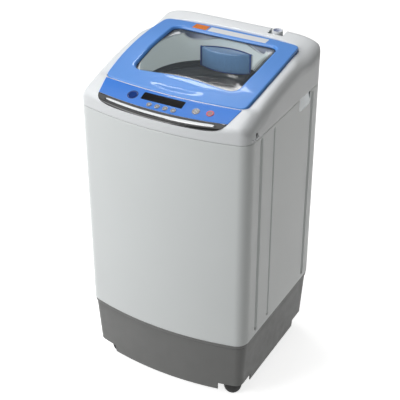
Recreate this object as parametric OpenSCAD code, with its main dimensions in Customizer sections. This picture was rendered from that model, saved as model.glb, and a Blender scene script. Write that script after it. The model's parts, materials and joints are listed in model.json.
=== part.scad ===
// Compact top load washing machine, an assembly of separate pieces.
// Millimetres, +Z up, front towards -Y, origin on the floor under the middle of the body.

/* [Body] */
// Width of the body from side to side
body_w = 420; // [410:2:430]
// Depth from the front corners to the rear edge
body_d = 374; // [370:2:380]
// How far the front bows out past its corners
front_bow = 30; // [26:1:34]
// Radius of the four upright corners
corner_r = 32; // [24:1:36]
// Height of the joint between plinth and cabinet
plinth_top = 180; // [172:1:186]
// Height of the joint between cabinet and top cover
seam_z = 707; // [704:1:708]

/* [Lid and panel] */
// Half width of the lid at its widest
lid_hw = 179; // [177:0.5:180]
// Radius of the arc that the lid and panel follow from front to back
arc_r = 1015; // [1000:5:1030]
// Height of the highest point of that arc
arc_top = 802; // [801:0.5:803]
// Depth of the lid's rim
lid_rim = 9; // [8:0.5:9]
// Half width of the lid's window
window_hw = 137; // [128:1:138]
// Travel of each button
button_travel = 1.2; // [0.8:0.1:1.5]

/* [Wash unit] */
// Inner radius of the wash basket
basket_r = 156; // [150:1:157]
// Height of the basket's floor
basket_floor = 352; // [350:1:356]
// Height of the balance ring's top
ring_top = 700; // [694:1:701]
// Radius of the throat at the foot of the balance ring
ring_r = 131; // [124:1:134]
// Radius of the pulsator
pulsator_r = 122; // [100:1:130]
// Radius of the drive pulley, at the bottom of its groove
big_pulley_r = 70; // [60:1:72]
// Radius of the motor pulley, at the bottom of its groove
small_pulley_r = 28; // [24:1:30]

/* [Hidden] */
$fn = 64;

half_w = body_w / 2;
y_rear = (body_d + front_bow) / 2;
y_corner = y_rear - body_d;
y_front = -y_rear;
tub_y = (y_corner + y_rear) / 2;
sheet = 1.2;
skin = 3;
gap = 0.5;

// The arc over the top, seen from the side
arc_y = y_rear - 40;
arc_z = arc_top - arc_r;
function top_z(y) = arc_z + sqrt(arc_r * arc_r - (y - arc_y) * (y - arc_y));
function slope_at(y) = asin((arc_y - y) / arc_r);
function bow_radius(half_chord, bow) = (half_chord * half_chord + bow * bow) / (2 * bow);

// Lid
lid_front = y_corner + 52;
lid_back = lid_front + 266;
lid_front_bow = 9;
lid_back_bow = 11;
hinge_y = lid_back - 10;
hinge_z = top_z(hinge_y) - 6;
window_front = lid_front + 41;
window_back = lid_back - 23;

// Control panel
panel_t = 2.5;
panel_rear = lid_front - 4.3;
panel_front = y_corner + 2;
panel_rear_hw = 167.5;
panel_front_hw = 158;
panel_front_bow = 11.5;

// Wash unit
wall = 3;
tub_r = basket_r + 19;
tub_floor = basket_floor - 22;
tub_top = ring_top + 1;
motor_x = 98;
motor_y = tub_y - 58;
belt_z = 188;
belt_h = 9;
rod_x = 176;
rod_ys = [tub_y - 151, tub_y + 151];
seat_z = 640;
lug_z = 452;
spring_bottom = 372;
foot_x = 160;
foot_ys = [y_corner + 45, y_rear - 75];

// ---------- shared shapes ----------

function arc_points(x, y, r, from, to, n) =
  [for (i = [0 : n]) let (a = from + (to - from) * i / n) [x + r * cos(a), y + r * sin(a)]];

// Plan outline of the body: a bowed front, straight sides and rounded corners, drawn in by inset.
module body_plan(inset = 0) {
  bow_r = bow_radius(half_w, front_bow);
  r = max(corner_r, inset + 3);
  x = half_w - r;
  bow_y = y_front + bow_r;
  y = bow_y - sqrt(pow(bow_r - r, 2) - x * x);
  turn = atan2(y - bow_y, x);
  polygon(concat(
    arc_points(0, bow_y, bow_r - inset, -180 - turn, turn, 16),
    arc_points(x, y, r - inset, turn, 0, 8),
    arc_points(x, y_rear - r, r - inset, 0, 90, 8),
    arc_points(-x, y_rear - r, r - inset, 90, 180, 8),
    arc_points(-x, y, r - inset, 180, 180 - turn, 8)));
}

// The same outline with the pressed grooves of the side panels.
module grooved_plan() difference() {
  body_plan();
  for (side = [-1, 1]) {
    side_groove(side, y_corner + 58, 14, 5);
    side_groove(side, y_corner + 120, 8, 3.5);
    side_groove(side, y_rear - 58, 14, 5);
  }
}

module side_groove(side, y, width, depth) {
  flare = depth * 0.8;
  polygon([[side * (half_w + 1), y - width / 2], [side * (half_w - depth), y - width / 2 + flare],
           [side * (half_w - depth), y + width / 2 - flare], [side * (half_w + 1), y + width / 2]]);
}

module mirrored_x() {
  children();
  mirror([1, 0, 0]) children();
}

module rounded_rect(w, d, r) offset(r = r) offset(delta = -r) square([w, d], center = true);

module tube(r_out, r_in, h) difference() {
  cylinder(r = r_out, h = h);
  translate([0, 0, -1]) cylinder(r = r_in, h = h + 2);
}

// A large drum lying across the machine whose top is the arc, lowered by depth.
module arc_drum(depth) translate([0, arc_y, arc_z]) rotate([0, 90, 0])
  cylinder(r = arc_r - depth, h = body_w + 40, center = true, $fn = 720);

// The upright prism of a plan, between two depths under the arc.
module under_arc(from, to) intersection() {
  translate([0, 0, 600]) linear_extrude(300) children();
  difference() {
    arc_drum(from);
    arc_drum(to);
  }
}

// Everything over a plan above a depth under the arc.
module above_arc(depth) difference() {
  translate([0, 0, 600]) linear_extrude(300) children();
  arc_drum(depth);
}

// Puts children on the arc's surface at y, square to it.
module on_arc(y, x = 0) translate([x, y, top_z(y)]) rotate([slope_at(y), 0, 0]) children();

// Band between two bowed lines across the machine, the front one at front and the rear one at back.
module bowed_band(front, front_hw, bow_front, back, back_hw, bow_back) difference() {
  translate([-half_w, front - bow_front - 1]) square([body_w, back - front + bow_front + bow_back + 2]);
  band_side(front, front_hw, bow_front);
  if (bow_back > 0) translate([0, back]) mirror([0, 1]) band_side(0, back_hw, bow_back);
}

module band_side(front, hw, bow) {
  r = bow_radius(hw, bow);
  difference() {
    translate([-half_w - 1, front - bow - 30]) square([body_w + 2, bow + 60]);
    translate([0, front - bow + r]) circle(r = r, $fn = 480);
  }
}

// ---------- cabinet ----------

plinth_bottom = 30;
plinth_corner = 50;
plinth_rim = 9;

module plinth_skirt(inset) hull() {
  translate([0, 0, plinth_top - plinth_rim - 0.2]) linear_extrude(0.2) body_plan(4 + inset);
  translate([0, 0, plinth_bottom]) linear_extrude(0.2) body_plan(13 + inset);
}

module base_plinth() color("gray") difference() {
  union() {
    translate([0, 0, plinth_top - plinth_rim - 0.1]) linear_extrude(plinth_rim + 0.1) body_plan(1.5);
    difference() {
      plinth_skirt(0);
      translate([0, 0, -0.3]) plinth_skirt(wall);
    }
    for (x = [-1, 1], y = foot_ys) intersection() {
      translate([x * (foot_x + 2) - 34, y > 0 ? y - 34 : y - 60, plinth_corner]) cube([68, y > 0 ? 110 : 94, 9]);
      plinth_skirt(1);
    }
  }
  translate([0, 0, plinth_top - plinth_rim + 3]) linear_extrude(20) body_plan(5);
  translate([0, 0, plinth_top - plinth_rim - 10]) linear_extrude(20) body_plan(24);
  // corners cut away over the feet
  for (x = [-1, 1], y = [-1, 1])
    translate([x * half_w - 66, y > 0 ? y_rear - 74 : y_front - 2, plinth_bottom - 1])
      cube([132, y > 0 ? 76 : 96, plinth_corner - plinth_bottom + 1]);
  for (x = [-1, 1], y = foot_ys) translate([x * foot_x, y, plinth_corner - 1]) cylinder(r = 4.4, h = 12);
  // opening for the drain outlet at the back
  translate([outlet_x, y_rear - 30, outlet_z]) rotate([-90, 0, 0]) cylinder(r = 22, h = 40);
}

groove_bottom = plinth_top + 12;
grip_y = y_rear - 98;
grip_w = 58;
grip_h = 30;

module cabinet_wrap() color("white") difference() {
  union() {
    translate([0, 0, plinth_top]) linear_extrude(groove_bottom - plinth_top) difference() {
      body_plan();
      offset(delta = -sheet) body_plan();
    }
    translate([0, 0, groove_bottom - sheet]) linear_extrude(sheet) difference() {
      body_plan();
      offset(delta = -sheet) grooved_plan();
    }
    translate([0, 0, groove_bottom]) linear_extrude(seam_z - gap - groove_bottom) difference() {
      grooved_plan();
      offset(delta = -sheet) grooved_plan();
    }
  }
  // the back stays open between two folded edges
  translate([-half_w + 26, y_rear - 20, plinth_top - 1]) cube([body_w - 52, 40, seam_z]);
  for (x = [-1, 1]) translate([x * half_w - 12, grip_y - grip_w / 2, seam_z - grip_h])
    cube([24, grip_w, grip_h + 1]);
}

function back_screw_places() = [for (x = [-178, 178], z = [230, 380, 530, 680]) [x, z]];

module back_panel() color("lightgray") difference() {
  union() {
    translate([-half_w + 18, y_rear - 6, plinth_top + 1]) cube([body_w - 36, sheet, seam_z - plinth_top - 3]);
    translate([-110, y_rear - 6, 260]) cube([220, 4.5, 260]);
  }
  // cooling slots over the motor and the hollow behind the raised field
  for (i = [0 : 7]) translate([-60, y_rear - 20, 205 + i * 7]) cube([120, 20, 3]);
  translate([-107.5, y_rear - 7, 262.5]) cube([215, 4.2, 255]);
  translate([150, y_rear - 20, 232]) rotate([-90, 0, 0]) cylinder(r = 8.2, h = 30);
  for (p = back_screw_places()) translate([p[0], y_rear - 20, p[1]]) rotate([-90, 0, 0]) cylinder(r = 2.2, h = 30);
}

cover_screw_y = y_corner + 34;
cover_screw_z = seam_z + 13;

module body_screws() color("silver") {
  for (p = back_screw_places()) translate([p[0], y_rear - 9, p[1]]) rotate([-90, 0, 0]) {
    cylinder(r = 1.9, h = 4.5);
    translate([0, 0, 4.3]) cylinder(r1 = 4, r2 = 3, h = 2);
  }
  mirrored_x() translate([half_w - 8, cover_screw_y, cover_screw_z]) rotate([0, 90, 0]) {
    cylinder(r = 2, h = 4);
    translate([0, 0, 3]) cylinder(r = 3.6, h = 2);
  }
}

// A scooped pocket under the edge of the top cover, for lifting the machine.
module hand_grips() color("white") mirrored_x() translate([half_w, grip_y, seam_z - grip_h]) {
  rotate([90, 0, 0]) translate([0, 0, -grip_w / 2 + gap]) linear_extrude(grip_w - 2 * gap)
    polygon([[-0.5, 0.5], [-4, 0.5], [-24, grip_h - 2], [-24, grip_h - gap], [-21.5, grip_h - gap],
             [-21.5, grip_h - 4], [-0.5, 3]]);
  for (s = [-1, 1]) translate([0, s * (grip_w / 2 - gap - 1), 0]) rotate([90, 0, 0]) translate([0, 0, -1])
    linear_extrude(2) polygon([[-0.5, 1], [-23, grip_h - 3], [-23, grip_h - gap], [-0.5, grip_h - gap]]);
}

// ---------- top cover ----------

// Rounded front edge under the control panel, seen from the side.
brow_points = [[y_front - 1, 729], [y_front - 0.2, 732.4], [y_front + 2.5, 735.4], [y_front + 7, 738],
  [y_front + 13, 740.2]];

// Side view of the cover, front to the left.
deck_points = concat(
  [[y_front - 20, seam_z - 30], [y_front - 20, 728]], brow_points,
  [for (y = [-181.5 : 16.5 : -132]) [y, top_z(y) - 0.4]],
  [[-124, top_z(-124) - 0.6], [-117, top_z(-117) - 3], [-110, top_z(-110) - 5.4]],
  [for (y = [-100 : 24 : 92]) [y, top_z(y) - 6.5]],
  [[114, 795], [128, 798.2], [147, 803.5], [168, 808], [188, 810.6], [195, 809.6], [200, 805.6],
   [y_rear, 799], [y_rear, seam_z - 30]]);

module cover_side(inset) offset(delta = -inset) polygon(deck_points);

shoulder_r = 34;

module shoulder_section(inset) {
  x = half_w - shoulder_r;
  polygon(concat(
    [[-half_w - 8, -150], [half_w + 8, -150], [half_w + 8, -shoulder_r - 8]],
    arc_points(x, -shoulder_r, shoulder_r - inset, 0, 90, 8),
    arc_points(-x, -shoulder_r, shoulder_r - inset, 90, 180, 8),
    [[-half_w - 8, -shoulder_r - 8]]));
}

// The rounded shoulders: they follow the arc, then a straight rise behind the lid.
module shoulders(inset) {
  split = lid_back - 4;
  intersection() {
    translate([0, arc_y, arc_z]) rotate([0, 90, 0]) rotate_extrude($fn = 720) rotate(-90)
      translate([0, arc_r + 3]) shoulder_section(inset);
    translate([-half_w - 10, y_front - 5, 500]) cube([body_w + 20, split - y_front + 5, 400]);
  }
  intersection() {
    translate([0, y_rear + 10, 813]) rotate([90 + 10.5, 0, 0]) linear_extrude(130) shoulder_section(inset);
    translate([-half_w - 10, split - 3, 500]) cube([body_w + 20, y_rear, 400]);
  }
}

module cover_solid(inset) intersection() {
  translate([0, 0, seam_z - 10]) linear_extrude(130) body_plan(inset);
  translate([-half_w - 5, 0, 0]) rotate([90, 0, 90]) linear_extrude(body_w + 10) cover_side(inset);
  shoulders(inset);
}

module lid_plan(grow = 0) {
  side_r = bow_radius((lid_back - lid_front) / 2, 7.2);
  mid = (lid_front + lid_back) / 2;
  offset(delta = grow) offset(r = 12, $fn = 32) offset(delta = -12) intersection() {
    bowed_band(lid_front, 171.5, lid_front_bow, lid_back, 173, lid_back_bow);
    translate([lid_hw - side_r, mid]) circle(r = side_r, $fn = 360);
    translate([side_r - lid_hw, mid]) circle(r = side_r, $fn = 360);
  }
}

// Room that the lid lies and swings in.
module lid_room(grow) {
  above_arc(lid_rim + 1.5 + grow) lid_plan(1.2 + grow);
  above_arc(lid_rim + 1.5 + grow) mirrored_x() translate([158 - grow, lid_back - 22 - grow])
    square([17 + 2 * grow, 23.2 + 2 * grow]);
  intersection() {
    translate([0, 0, 600]) linear_extrude(300) hull() for (back = [0, 1]) translate([0, back])
      lid_plan(1.2 + grow);
    hinge_line(2 * lid_hw) circle(r = 23 + grow);
  }
}

// Sweeps a shape along the lid's hinge line.
module hinge_line(length) translate([-length / 2, hinge_y, hinge_z]) rotate([90, 0, 90]) linear_extrude(length) children();

module panel_plan(grow = 0) offset(delta = grow) intersection() {
  bowed_band(panel_front, panel_front_hw, panel_front_bow, panel_rear, 171.5, 0);
  difference() {
    polygon([[-panel_front_hw - 3, panel_front - 20], [panel_front_hw + 3, panel_front - 20],
             [panel_front_hw, panel_front], [panel_rear_hw, panel_rear], [-panel_rear_hw, panel_rear],
             [-panel_front_hw, panel_front]]);
    translate([0, -4.3]) lid_front_disc();
  }
}

module lid_front_disc() {
  r = bow_radius(171.5, lid_front_bow);
  translate([0, lid_front - lid_front_bow + r]) circle(r = r, $fn = 480);
}

module panel_room(grow) above_arc(panel_t + 0.4 + grow) panel_plan(0.4 + grow);

// Crescent between the panel's front edge and the bowed front, above a line that lifts at both ends.
module trim_solid(grow) intersection() {
  translate([0, 0, 600]) linear_extrude(300) offset(delta = grow) difference() {
    intersection() {
      body_plan();
      translate([-163, y_front - 5]) square([326, 60]);
    }
    translate([0, panel_front - panel_front_bow - 0.3 + bow_radius(panel_front_hw, panel_front_bow)])
      circle(r = bow_radius(panel_front_hw, panel_front_bow), $fn = 480);
  }
  rotate([90, 0, 0]) translate([0, 0, 100]) linear_extrude(200) offset(delta = grow)
    polygon([[-95, 730.5], [95, 730.5], [131, 733], [147, 738.5], [157, 746], [163, 752], [163, 780],
             [-163, 780], [-163, 752], [-157, 746], [-147, 738.5], [-131, 733]]);
  translate([-half_w, 0, 0]) rotate([90, 0, 90]) linear_extrude(body_w) offset(delta = grow)
    polygon(concat([[y_front - 1, 700]], brow_points,
      [[-181.5, top_z(-181.5)], [-172, top_z(-172)], [-160, top_z(-160)], [-160, 700]]));
}

throat_r = 142;
hole_r = throat_r + 1.5;
inlet_x = 98;
inlet_y = y_rear - 17;
inlet_z = 795;

module top_cover() color("white") difference() {
  union() {
    difference() {
      cover_solid(0);
      lid_room(0);
      panel_room(0);
      difference() {
        cover_solid(skin);
        lid_room(skin);
        panel_room(skin);
        trim_solid(skin);
      }
    }
    // hinge blocks beside the lid
    mirrored_x() translate([lid_hw - 3.5, hinge_y - 6, hinge_z - 12]) cube([10, 12, 15]);
    // screw pads inside the side walls
    mirrored_x() translate([half_w - 11, cover_screw_y - 8, cover_screw_z - 8]) cube([8.5, 16, 16]);
  }
  trim_solid(0.3);
  translate([-half_w - 5, y_front - 5, seam_z - 40]) cube([body_w + 10, 2 * y_rear + 10, 40]);
  translate([0, tub_y, 600]) cylinder(r = hole_r, h = 300);
  // bores for the lid's hinge pins
  hinge_line(2 * lid_hw + 8) circle(r = 2.25);
  // recesses and holes for the side screws
  mirrored_x() translate([half_w - 20, cover_screw_y, cover_screw_z]) rotate([0, 90, 0]) cylinder(r = 2.3, h = 30);
  mirrored_x() translate([half_w - 5, cover_screw_y, cover_screw_z]) rotate([0, 90, 0]) cylinder(r = 5, h = 12);
  // notch for the water inlet
  translate([inlet_x - 19, inlet_y - 16, inlet_z - 8]) cube([40, 60, 60]);
  translate([inlet_x, inlet_y, inlet_z - 30]) cylinder(r = 15.6, h = 40);
  // opening under the control panel
  on_arc(-152) translate([-130, -19, -20]) cube([260, 33, 40]);
  // room for the lower flanges of the small buttons
  for (x = function_xs) on_arc(function_y, x) translate([0, 0, -15]) cylinder(r = small_r + 1.7, h = 20);
}

liner_bottom = 718;

// Round throat between the deck and the tub.
module opening_liner() color("gainsboro") difference() {
  translate([0, tub_y, liner_bottom]) difference() {
    cylinder(r = throat_r + 1.2, h = 90);
    translate([0, 0, -1]) cylinder(r = throat_r, h = 100);
  }
  above_arc(lid_rim + 5) translate([-half_w, y_front]) square([body_w, 2 * y_rear]);
  hinge_line(2 * lid_hw) circle(r = 26.5);
  // passages for the dispenser's two runners
  at_dispenser() for (s = [-1, 1]) translate([s * runner_x - 6.5, 80, runner_z - 6.5]) cube([13, 90, 13]);
  at_dispenser() translate([-20, 120, runner_z - 4]) cube([40, 40, 8]);
}

// ---------- control panel ----------

display_x = -7.5;
display_y = -150.5;
display_w = 101;
display_d = 21;
function_xs = [-30, -10.4, 9.2, 28.8];
function_y = -170.7;
start_place = [76.4, -158];
power_place = [108.4, -154.5];
program_place = [-80, -155.5];
small_r = 5.8;
large_r = 7.8;
program_r = 9.6;

module button_well(place, r) on_arc(place[1], place[0]) translate([0, 0, -10]) cylinder(r = r + 0.4, h = 20);

module control_panel() color("royalblue") difference() {
  under_arc(0, panel_t) panel_plan();
  for (x = function_xs) button_well([x, function_y], small_r);
  button_well(start_place, large_r);
  button_well(power_place, large_r);
  button_well(program_place, program_r);
  on_arc(display_y, display_x) translate([0, 0, -10]) linear_extrude(20)
    rounded_rect(display_w + 0.8, display_d + 0.8, 2.3);
}

module display_window() color("black") on_arc(display_y, display_x) translate([0, 0, -2.3])
  linear_extrude(2.4) rounded_rect(display_w, display_d, 2);

module push_button(place, r) on_arc(place[1], place[0]) translate([0, 0, -4.2]) {
  translate([0, 0, -0.2]) cylinder(r = r, h = 5.4);
  translate([0, 0, -1.4]) cylinder(r = r + 1.2, h = 1.4);
}

module control_board() color("seagreen") on_arc(-152) translate([-128, -15, -12]) {
  difference() {
    cube([252, 27, 1.6]);
    for (x = [5, 247], y = [5, 22]) translate([x, y, -1]) cylinder(r = 1.6, h = 4);
  }
  translate([75, 8, 1.6]) cube([92, 16, 5]);
  translate([30, 8, 1.6]) cube([30, 8, 2.5]);
}

module panel_trim() color("black") trim_solid(0);

// ---------- lid ----------

module window_plan(grow = 0) {
  d = window_back - window_front;
  offset(delta = grow) offset(r = 20, $fn = 32) offset(delta = -20) polygon(concat(
    [for (x = [-window_hw + 6 : 14.5 : window_hw - 5])
      [x, window_front + 9 * pow(cos(min(90, abs(x) * 0.82)), 1.5)]],
    [[window_hw, window_front + d * 0.45], [window_hw - 1.5, window_back - 12], [window_hw - 30, window_back],
     [-window_hw + 30, window_back], [-window_hw + 1.5, window_back - 12], [-window_hw, window_front + d * 0.45]]));
}

pane_depth = 6;

module lid_frame() color("cornflowerblue") difference() {
  union() {
    under_arc(0, 2.5) difference() {
      lid_plan();
      window_plan();
    }
    under_arc(0.5, lid_rim) difference() {
      lid_plan();
      lid_plan(-2.5);
    }
    under_arc(0.5, pane_depth + 2) difference() {
      window_plan(2);
      window_plan(-2);
    }
    // pads that carry the hinge pins
    intersection() {
      mirrored_x() translate([156, hinge_y, hinge_z]) rotate([0, 90, 0]) cylinder(r = 3.8, h = 20);
      under_arc(0.5, 12) lid_plan();
    }
  }
  hinge_line(2 * lid_hw + 30) circle(r = 2.2);
}

module lid_window() color([0.8, 0.9, 1, 0.4]) {
  under_arc(pane_depth, pane_depth + 2) window_plan(-2);
  under_arc(pane_depth + 2, pane_depth + 4) window_plan(2);
}

module lid_hinge_pins() color("silver") mirrored_x() translate([160, hinge_y, hinge_z]) rotate([0, 90, 0])
  cylinder(r = 2.2, h = 22);

module lid_label_orange() color("darkorange") under_arc(-0.3, 0) translate([-92, lid_back - 22]) square([36, 23]);
module lid_label_white() color("whitesmoke") under_arc(-0.3, 0) translate([-51, lid_back - 22]) square([148, 22.5]);

module lid_buffers() color("dimgray") under_arc(2.5, lid_rim + 1.1) mirrored_x()
  translate([156, lid_front + 16]) circle(r = 4);

module lid_switch() color("ivory") translate([120, y_rear - 36, 768]) cube([26, 14, 16]);

// ---------- water inlet and dispenser ----------

dispenser_turn = 4.7;
dispenser_hw = 64;
dispenser_low = 706;
dispenser_high = 756;
runner_x = 46;
runner_z = 746;
draw_travel = 28;

// Turns children, drawn with the dispenser straight behind the tub's middle, into place.
module at_dispenser() translate([0, tub_y, 0]) rotate([0, 0, dispenser_turn]) children();

module water_valve() color("white") difference() {
  union() {
    translate([inlet_x, inlet_y, inlet_z - 30]) cylinder(r = 13.2, h = 46);
    translate([inlet_x, inlet_y, inlet_z - 10]) cylinder(r = 15, h = 4);
    translate([inlet_x - 17, inlet_y - 15, inlet_z - 58]) cube([34, 28, 30]);
    translate([inlet_x - 50, inlet_y - 2, inlet_z - 48]) rotate([0, 90, 0]) cylinder(r = 7, h = 38);
  }
  translate([inlet_x, inlet_y, inlet_z - 16]) cylinder(r = 9.6, h = 40);
  translate([inlet_x - 53, inlet_y - 2, inlet_z - 48]) rotate([0, 90, 0]) cylinder(r = 4.5, h = 40);
}

module inlet_screen() color("blue") translate([inlet_x, inlet_y, inlet_z + 1]) {
  tube(9.4, 7, 13);
  cylinder(r = 9.4, h = 1.5);
  for (a = [0 : 45 : 135]) rotate([0, 0, a]) translate([-8, -0.6, 0]) cube([16, 1.2, 12.5]);
}

module dispenser_housing() color("white") at_dispenser() difference() {
  translate([-58, throat_r + 5.5, runner_z - 9]) cube([116, 28, 18]);
  for (s = [-1, 1]) translate([s * runner_x - 5.4, throat_r, runner_z - 5.4]) cube([10.8, 50, 10.8]);
  translate([-20, throat_r, runner_z - 4]) cube([40, 28, 8]);
  translate([40, 166, runner_z]) rotate([0, 90, 0]) cylinder(r = 4.5, h = 40);
}

// Plan of the dispenser: bowed towards the tub in front, round like the throat behind.
module dispenser_plan(grow) intersection() {
  circle(r = throat_r - 1 + grow, $fn = 256);
  translate([-dispenser_hw - grow, 60]) square([2 * dispenser_hw + 2 * grow, 120]);
  translate([0, 106.6 + bow_radius(dispenser_hw, 19) - grow]) circle(r = bow_radius(dispenser_hw, 19), $fn = 256);
}

module drawer_tray() color([0.35, 0.55, 0.85, 0.7]) at_dispenser() {
  translate([0, 0, dispenser_low + 1.5]) difference() {
    linear_extrude(dispenser_high - dispenser_low - 3) dispenser_plan(-2.6);
    translate([0, 0, 2]) linear_extrude(dispenser_high - dispenser_low) dispenser_plan(-4.6);
  }
  for (s = [-1, 1]) translate([s * runner_x - 5, 128, runner_z - 5]) cube([10, 46, 10]);
}

// Collar round the rear part of the tray.
module drawer_frame() color("navy") at_dispenser() difference() {
  translate([0, 0, dispenser_low]) linear_extrude(dispenser_high - dispenser_low) difference() {
    dispenser_plan(0);
    dispenser_plan(-2.5);
    circle(r = throat_r - 12, $fn = 256);
  }
  for (s = [-1, 1]) translate([s * runner_x - 5.2, 100, runner_z - 5.2]) cube([10.4, 60, 10.4]);
}

// ---------- suspension ----------

module each_rod() for (x = [-1, 1], y = rod_ys) translate([x * rod_x, y, 0]) children();

module suspension_seats() color("lightgray") mirrored_x() for (y = rod_ys) translate([rod_x, y, seat_z]) difference() {
  union() {
    translate([-14, -14, 0]) cube([half_w - rod_x + 10, 28, 4]);
    translate([half_w - rod_x - 7, -14, 0]) cube([3, 28, 26]);
    cylinder(r = 13, h = 9);
  }
  translate([0, 0, -1]) cylinder(r = 5, h = 20);
  translate([0, 0, 12]) sphere(r = 9);
}

module suspension_rods() color("silver") each_rod() {
  translate([0, 0, spring_bottom - 22]) cylinder(r = 4, h = seat_z + 34 - spring_bottom);
  translate([0, 0, seat_z + 12]) sphere(r = 8.6);
  translate([0, 0, spring_bottom - 4]) cylinder(r = 13, h = 4);
}

spring_r = 9.5;
spring_wire = 1.6;
spring_turns = 8;
spring_h = lug_z - spring_bottom;

// A coil of wire as one swept solid with square ends.
module coil(r, wire, h, turns) {
  per_turn = 12;
  sides = 6;
  n = per_turn * turns;
  rise = h - 2 * wire;
  points = [for (i = [0 : n], k = [0 : sides - 1])
    let (a = 360 * i / per_turn, b = 360 * k / sides, q = r + wire * cos(b))
      [q * cos(a), q * sin(a), wire + rise * i / n + wire * sin(b)]];
  sidewalls = [for (i = [0 : n - 1], k = [0 : sides - 1]) let (m = (k + 1) % sides)
    [(i + 1) * sides + k, (i + 1) * sides + m, i * sides + m, i * sides + k]];
  first_cap = [for (k = [0 : sides - 1]) k];
  last_cap = [for (k = [0 : sides - 1]) n * sides + sides - 1 - k];
  polyhedron(points, concat(sidewalls, [first_cap, last_cap]));
}

module suspension_springs() color("silver") each_rod() translate([0, 0, spring_bottom])
  coil(spring_r, spring_wire, spring_h, spring_turns);

// ---------- tub ----------

drain_x = -112;
drain_y = tub_y + 100;
drain_bottom = 282;
drain_elbow_top = 202;
outlet_x = -120;
outlet_z = 105;

module outer_tub() color("whitesmoke") difference() {
  union() {
    translate([0, tub_y, tub_floor]) cylinder(r = tub_r + wall, h = tub_top - 4 - tub_floor);
    translate([0, tub_y, tub_floor - 12]) cylinder(r = 52, h = 18);
    // lugs that the springs push up on
    for (x = [-1, 1], y = [0, 1]) hull() {
      translate([x * rod_x, rod_ys[y], lug_z]) cylinder(r = 14, h = 12, $fn = 32);
      translate([x * 118, tub_y + (y * 2 - 1) * 118, lug_z]) cylinder(r = 14, h = 12, $fn = 32);
    }
    for (a = [45 : 90 : 315]) translate([0, tub_y, tub_floor - 12]) rotate([0, 0, a]) translate([110, 0, 0])
      cylinder(r = 10, h = 16);
  }
  translate([0, tub_y, tub_floor + wall]) cylinder(r = tub_r, h = 500);
  translate([0, tub_y, tub_floor - 20]) cylinder(r = 26.3, h = 60);
  each_rod() translate([0, 0, lug_z - 2]) cylinder(r = 5.2, h = 20);
  translate([drain_x, drain_y, tub_floor - 5]) cylinder(r = 13, h = 20);
}

// Black ring over the tub, with a lip that stands round the throat.
module tub_cover() color([0.16, 0.16, 0.17]) translate([0, tub_y, 0]) rotate_extrude($fn = 96) polygon([
  [tub_r + wall + 0.3, tub_top - 14], [tub_r + wall + 3, tub_top - 14], [tub_r + wall + 3, tub_top + 4],
  [153, tub_top + 4], [152, tub_top + 19], [149.5, tub_top + 19], [149, tub_top + 5], [145, tub_top + 4],
  [145, tub_top + 2], [155, tub_top + 1.5], [tub_r + wall + 0.3, tub_top + 1]]);

module drive_frame() color("slategray") translate([0, tub_y, tub_floor - 16]) linear_extrude(4) difference() {
  union() {
    for (a = [45, 135]) rotate(a) square([250, 46], center = true);
    circle(r = 76);
    translate([motor_x, motor_y - tub_y]) circle(r = 50);
  }
  circle(r = 26);
  translate([motor_x, motor_y - tub_y]) circle(r = 9);
  for (a = [45 : 90 : 315]) rotate(a) translate([110, 0]) circle(r = 4);
}

module bearing_housing() color("darkgray") translate([0, tub_y, 0]) difference() {
  union() {
    translate([0, 0, 222]) cylinder(r = 42, h = 70);
    translate([0, 0, 292]) cylinder(r = 60, h = tub_floor - 16 - 292);
    translate([0, 0, 300]) cylinder(r = 25.5, h = tub_floor + 8 - 300);
  }
  translate([0, 0, 200]) cylinder(r = 15.3, h = 200);
  for (a = [0 : 60 : 300]) rotate(a) translate([51, 0, 280]) cylinder(r = 3, h = 60);
}

module motor_housing() color("dimgray") translate([motor_x, motor_y, 0]) difference() {
  union() {
    translate([0, 0, 222]) cylinder(r = 46, h = 60);
    translate([0, 0, 282]) cylinder(r = 38, h = 12);
    translate([0, 0, 212]) cylinder(r = 38, h = 12);
    for (a = [45 : 90 : 315]) rotate(a) translate([40, 0, 282]) cylinder(r = 5, h = tub_floor - 16 - 282);
  }
  translate([0, 0, 200]) cylinder(r = 5.4, h = 92);
}

module belt_line(grow) hull() {
  translate([0, tub_y]) circle(r = big_pulley_r + grow);
  translate([motor_x, motor_y]) circle(r = small_pulley_r + grow);
}

module drive_belt() color([0.1, 0.1, 0.1]) translate([0, 0, belt_z]) linear_extrude(belt_h) difference() {
  belt_line(4.4);
  belt_line(0.4);
}

module drain_valve() color("white") translate([drain_x, drain_y, 0]) difference() {
  union() {
    translate([0, 0, drain_bottom]) cylinder(r = 12.5, h = tub_floor + 6 - drain_bottom);
    translate([0, 0, drain_bottom + 8]) cylinder(r = 20, h = 34);
    translate([18, -10, drain_bottom + 8]) cube([40, 20, 18]);
  }
  translate([0, 0, drain_bottom - 1]) cylinder(r = 9.5, h = 80);
}

module drain_bellows() color("gray") translate([drain_x, drain_y, drain_elbow_top]) rotate_extrude() {
  h = drain_bottom - drain_elbow_top;
  n = 10;
  polygon(concat([[10, 0], [14, 0]],
    [for (i = [0 : n - 1]) each [[17, h * (i + 0.5) / n], [14, h * (i + 1) / n]]], [[10, h]]));
}

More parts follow.
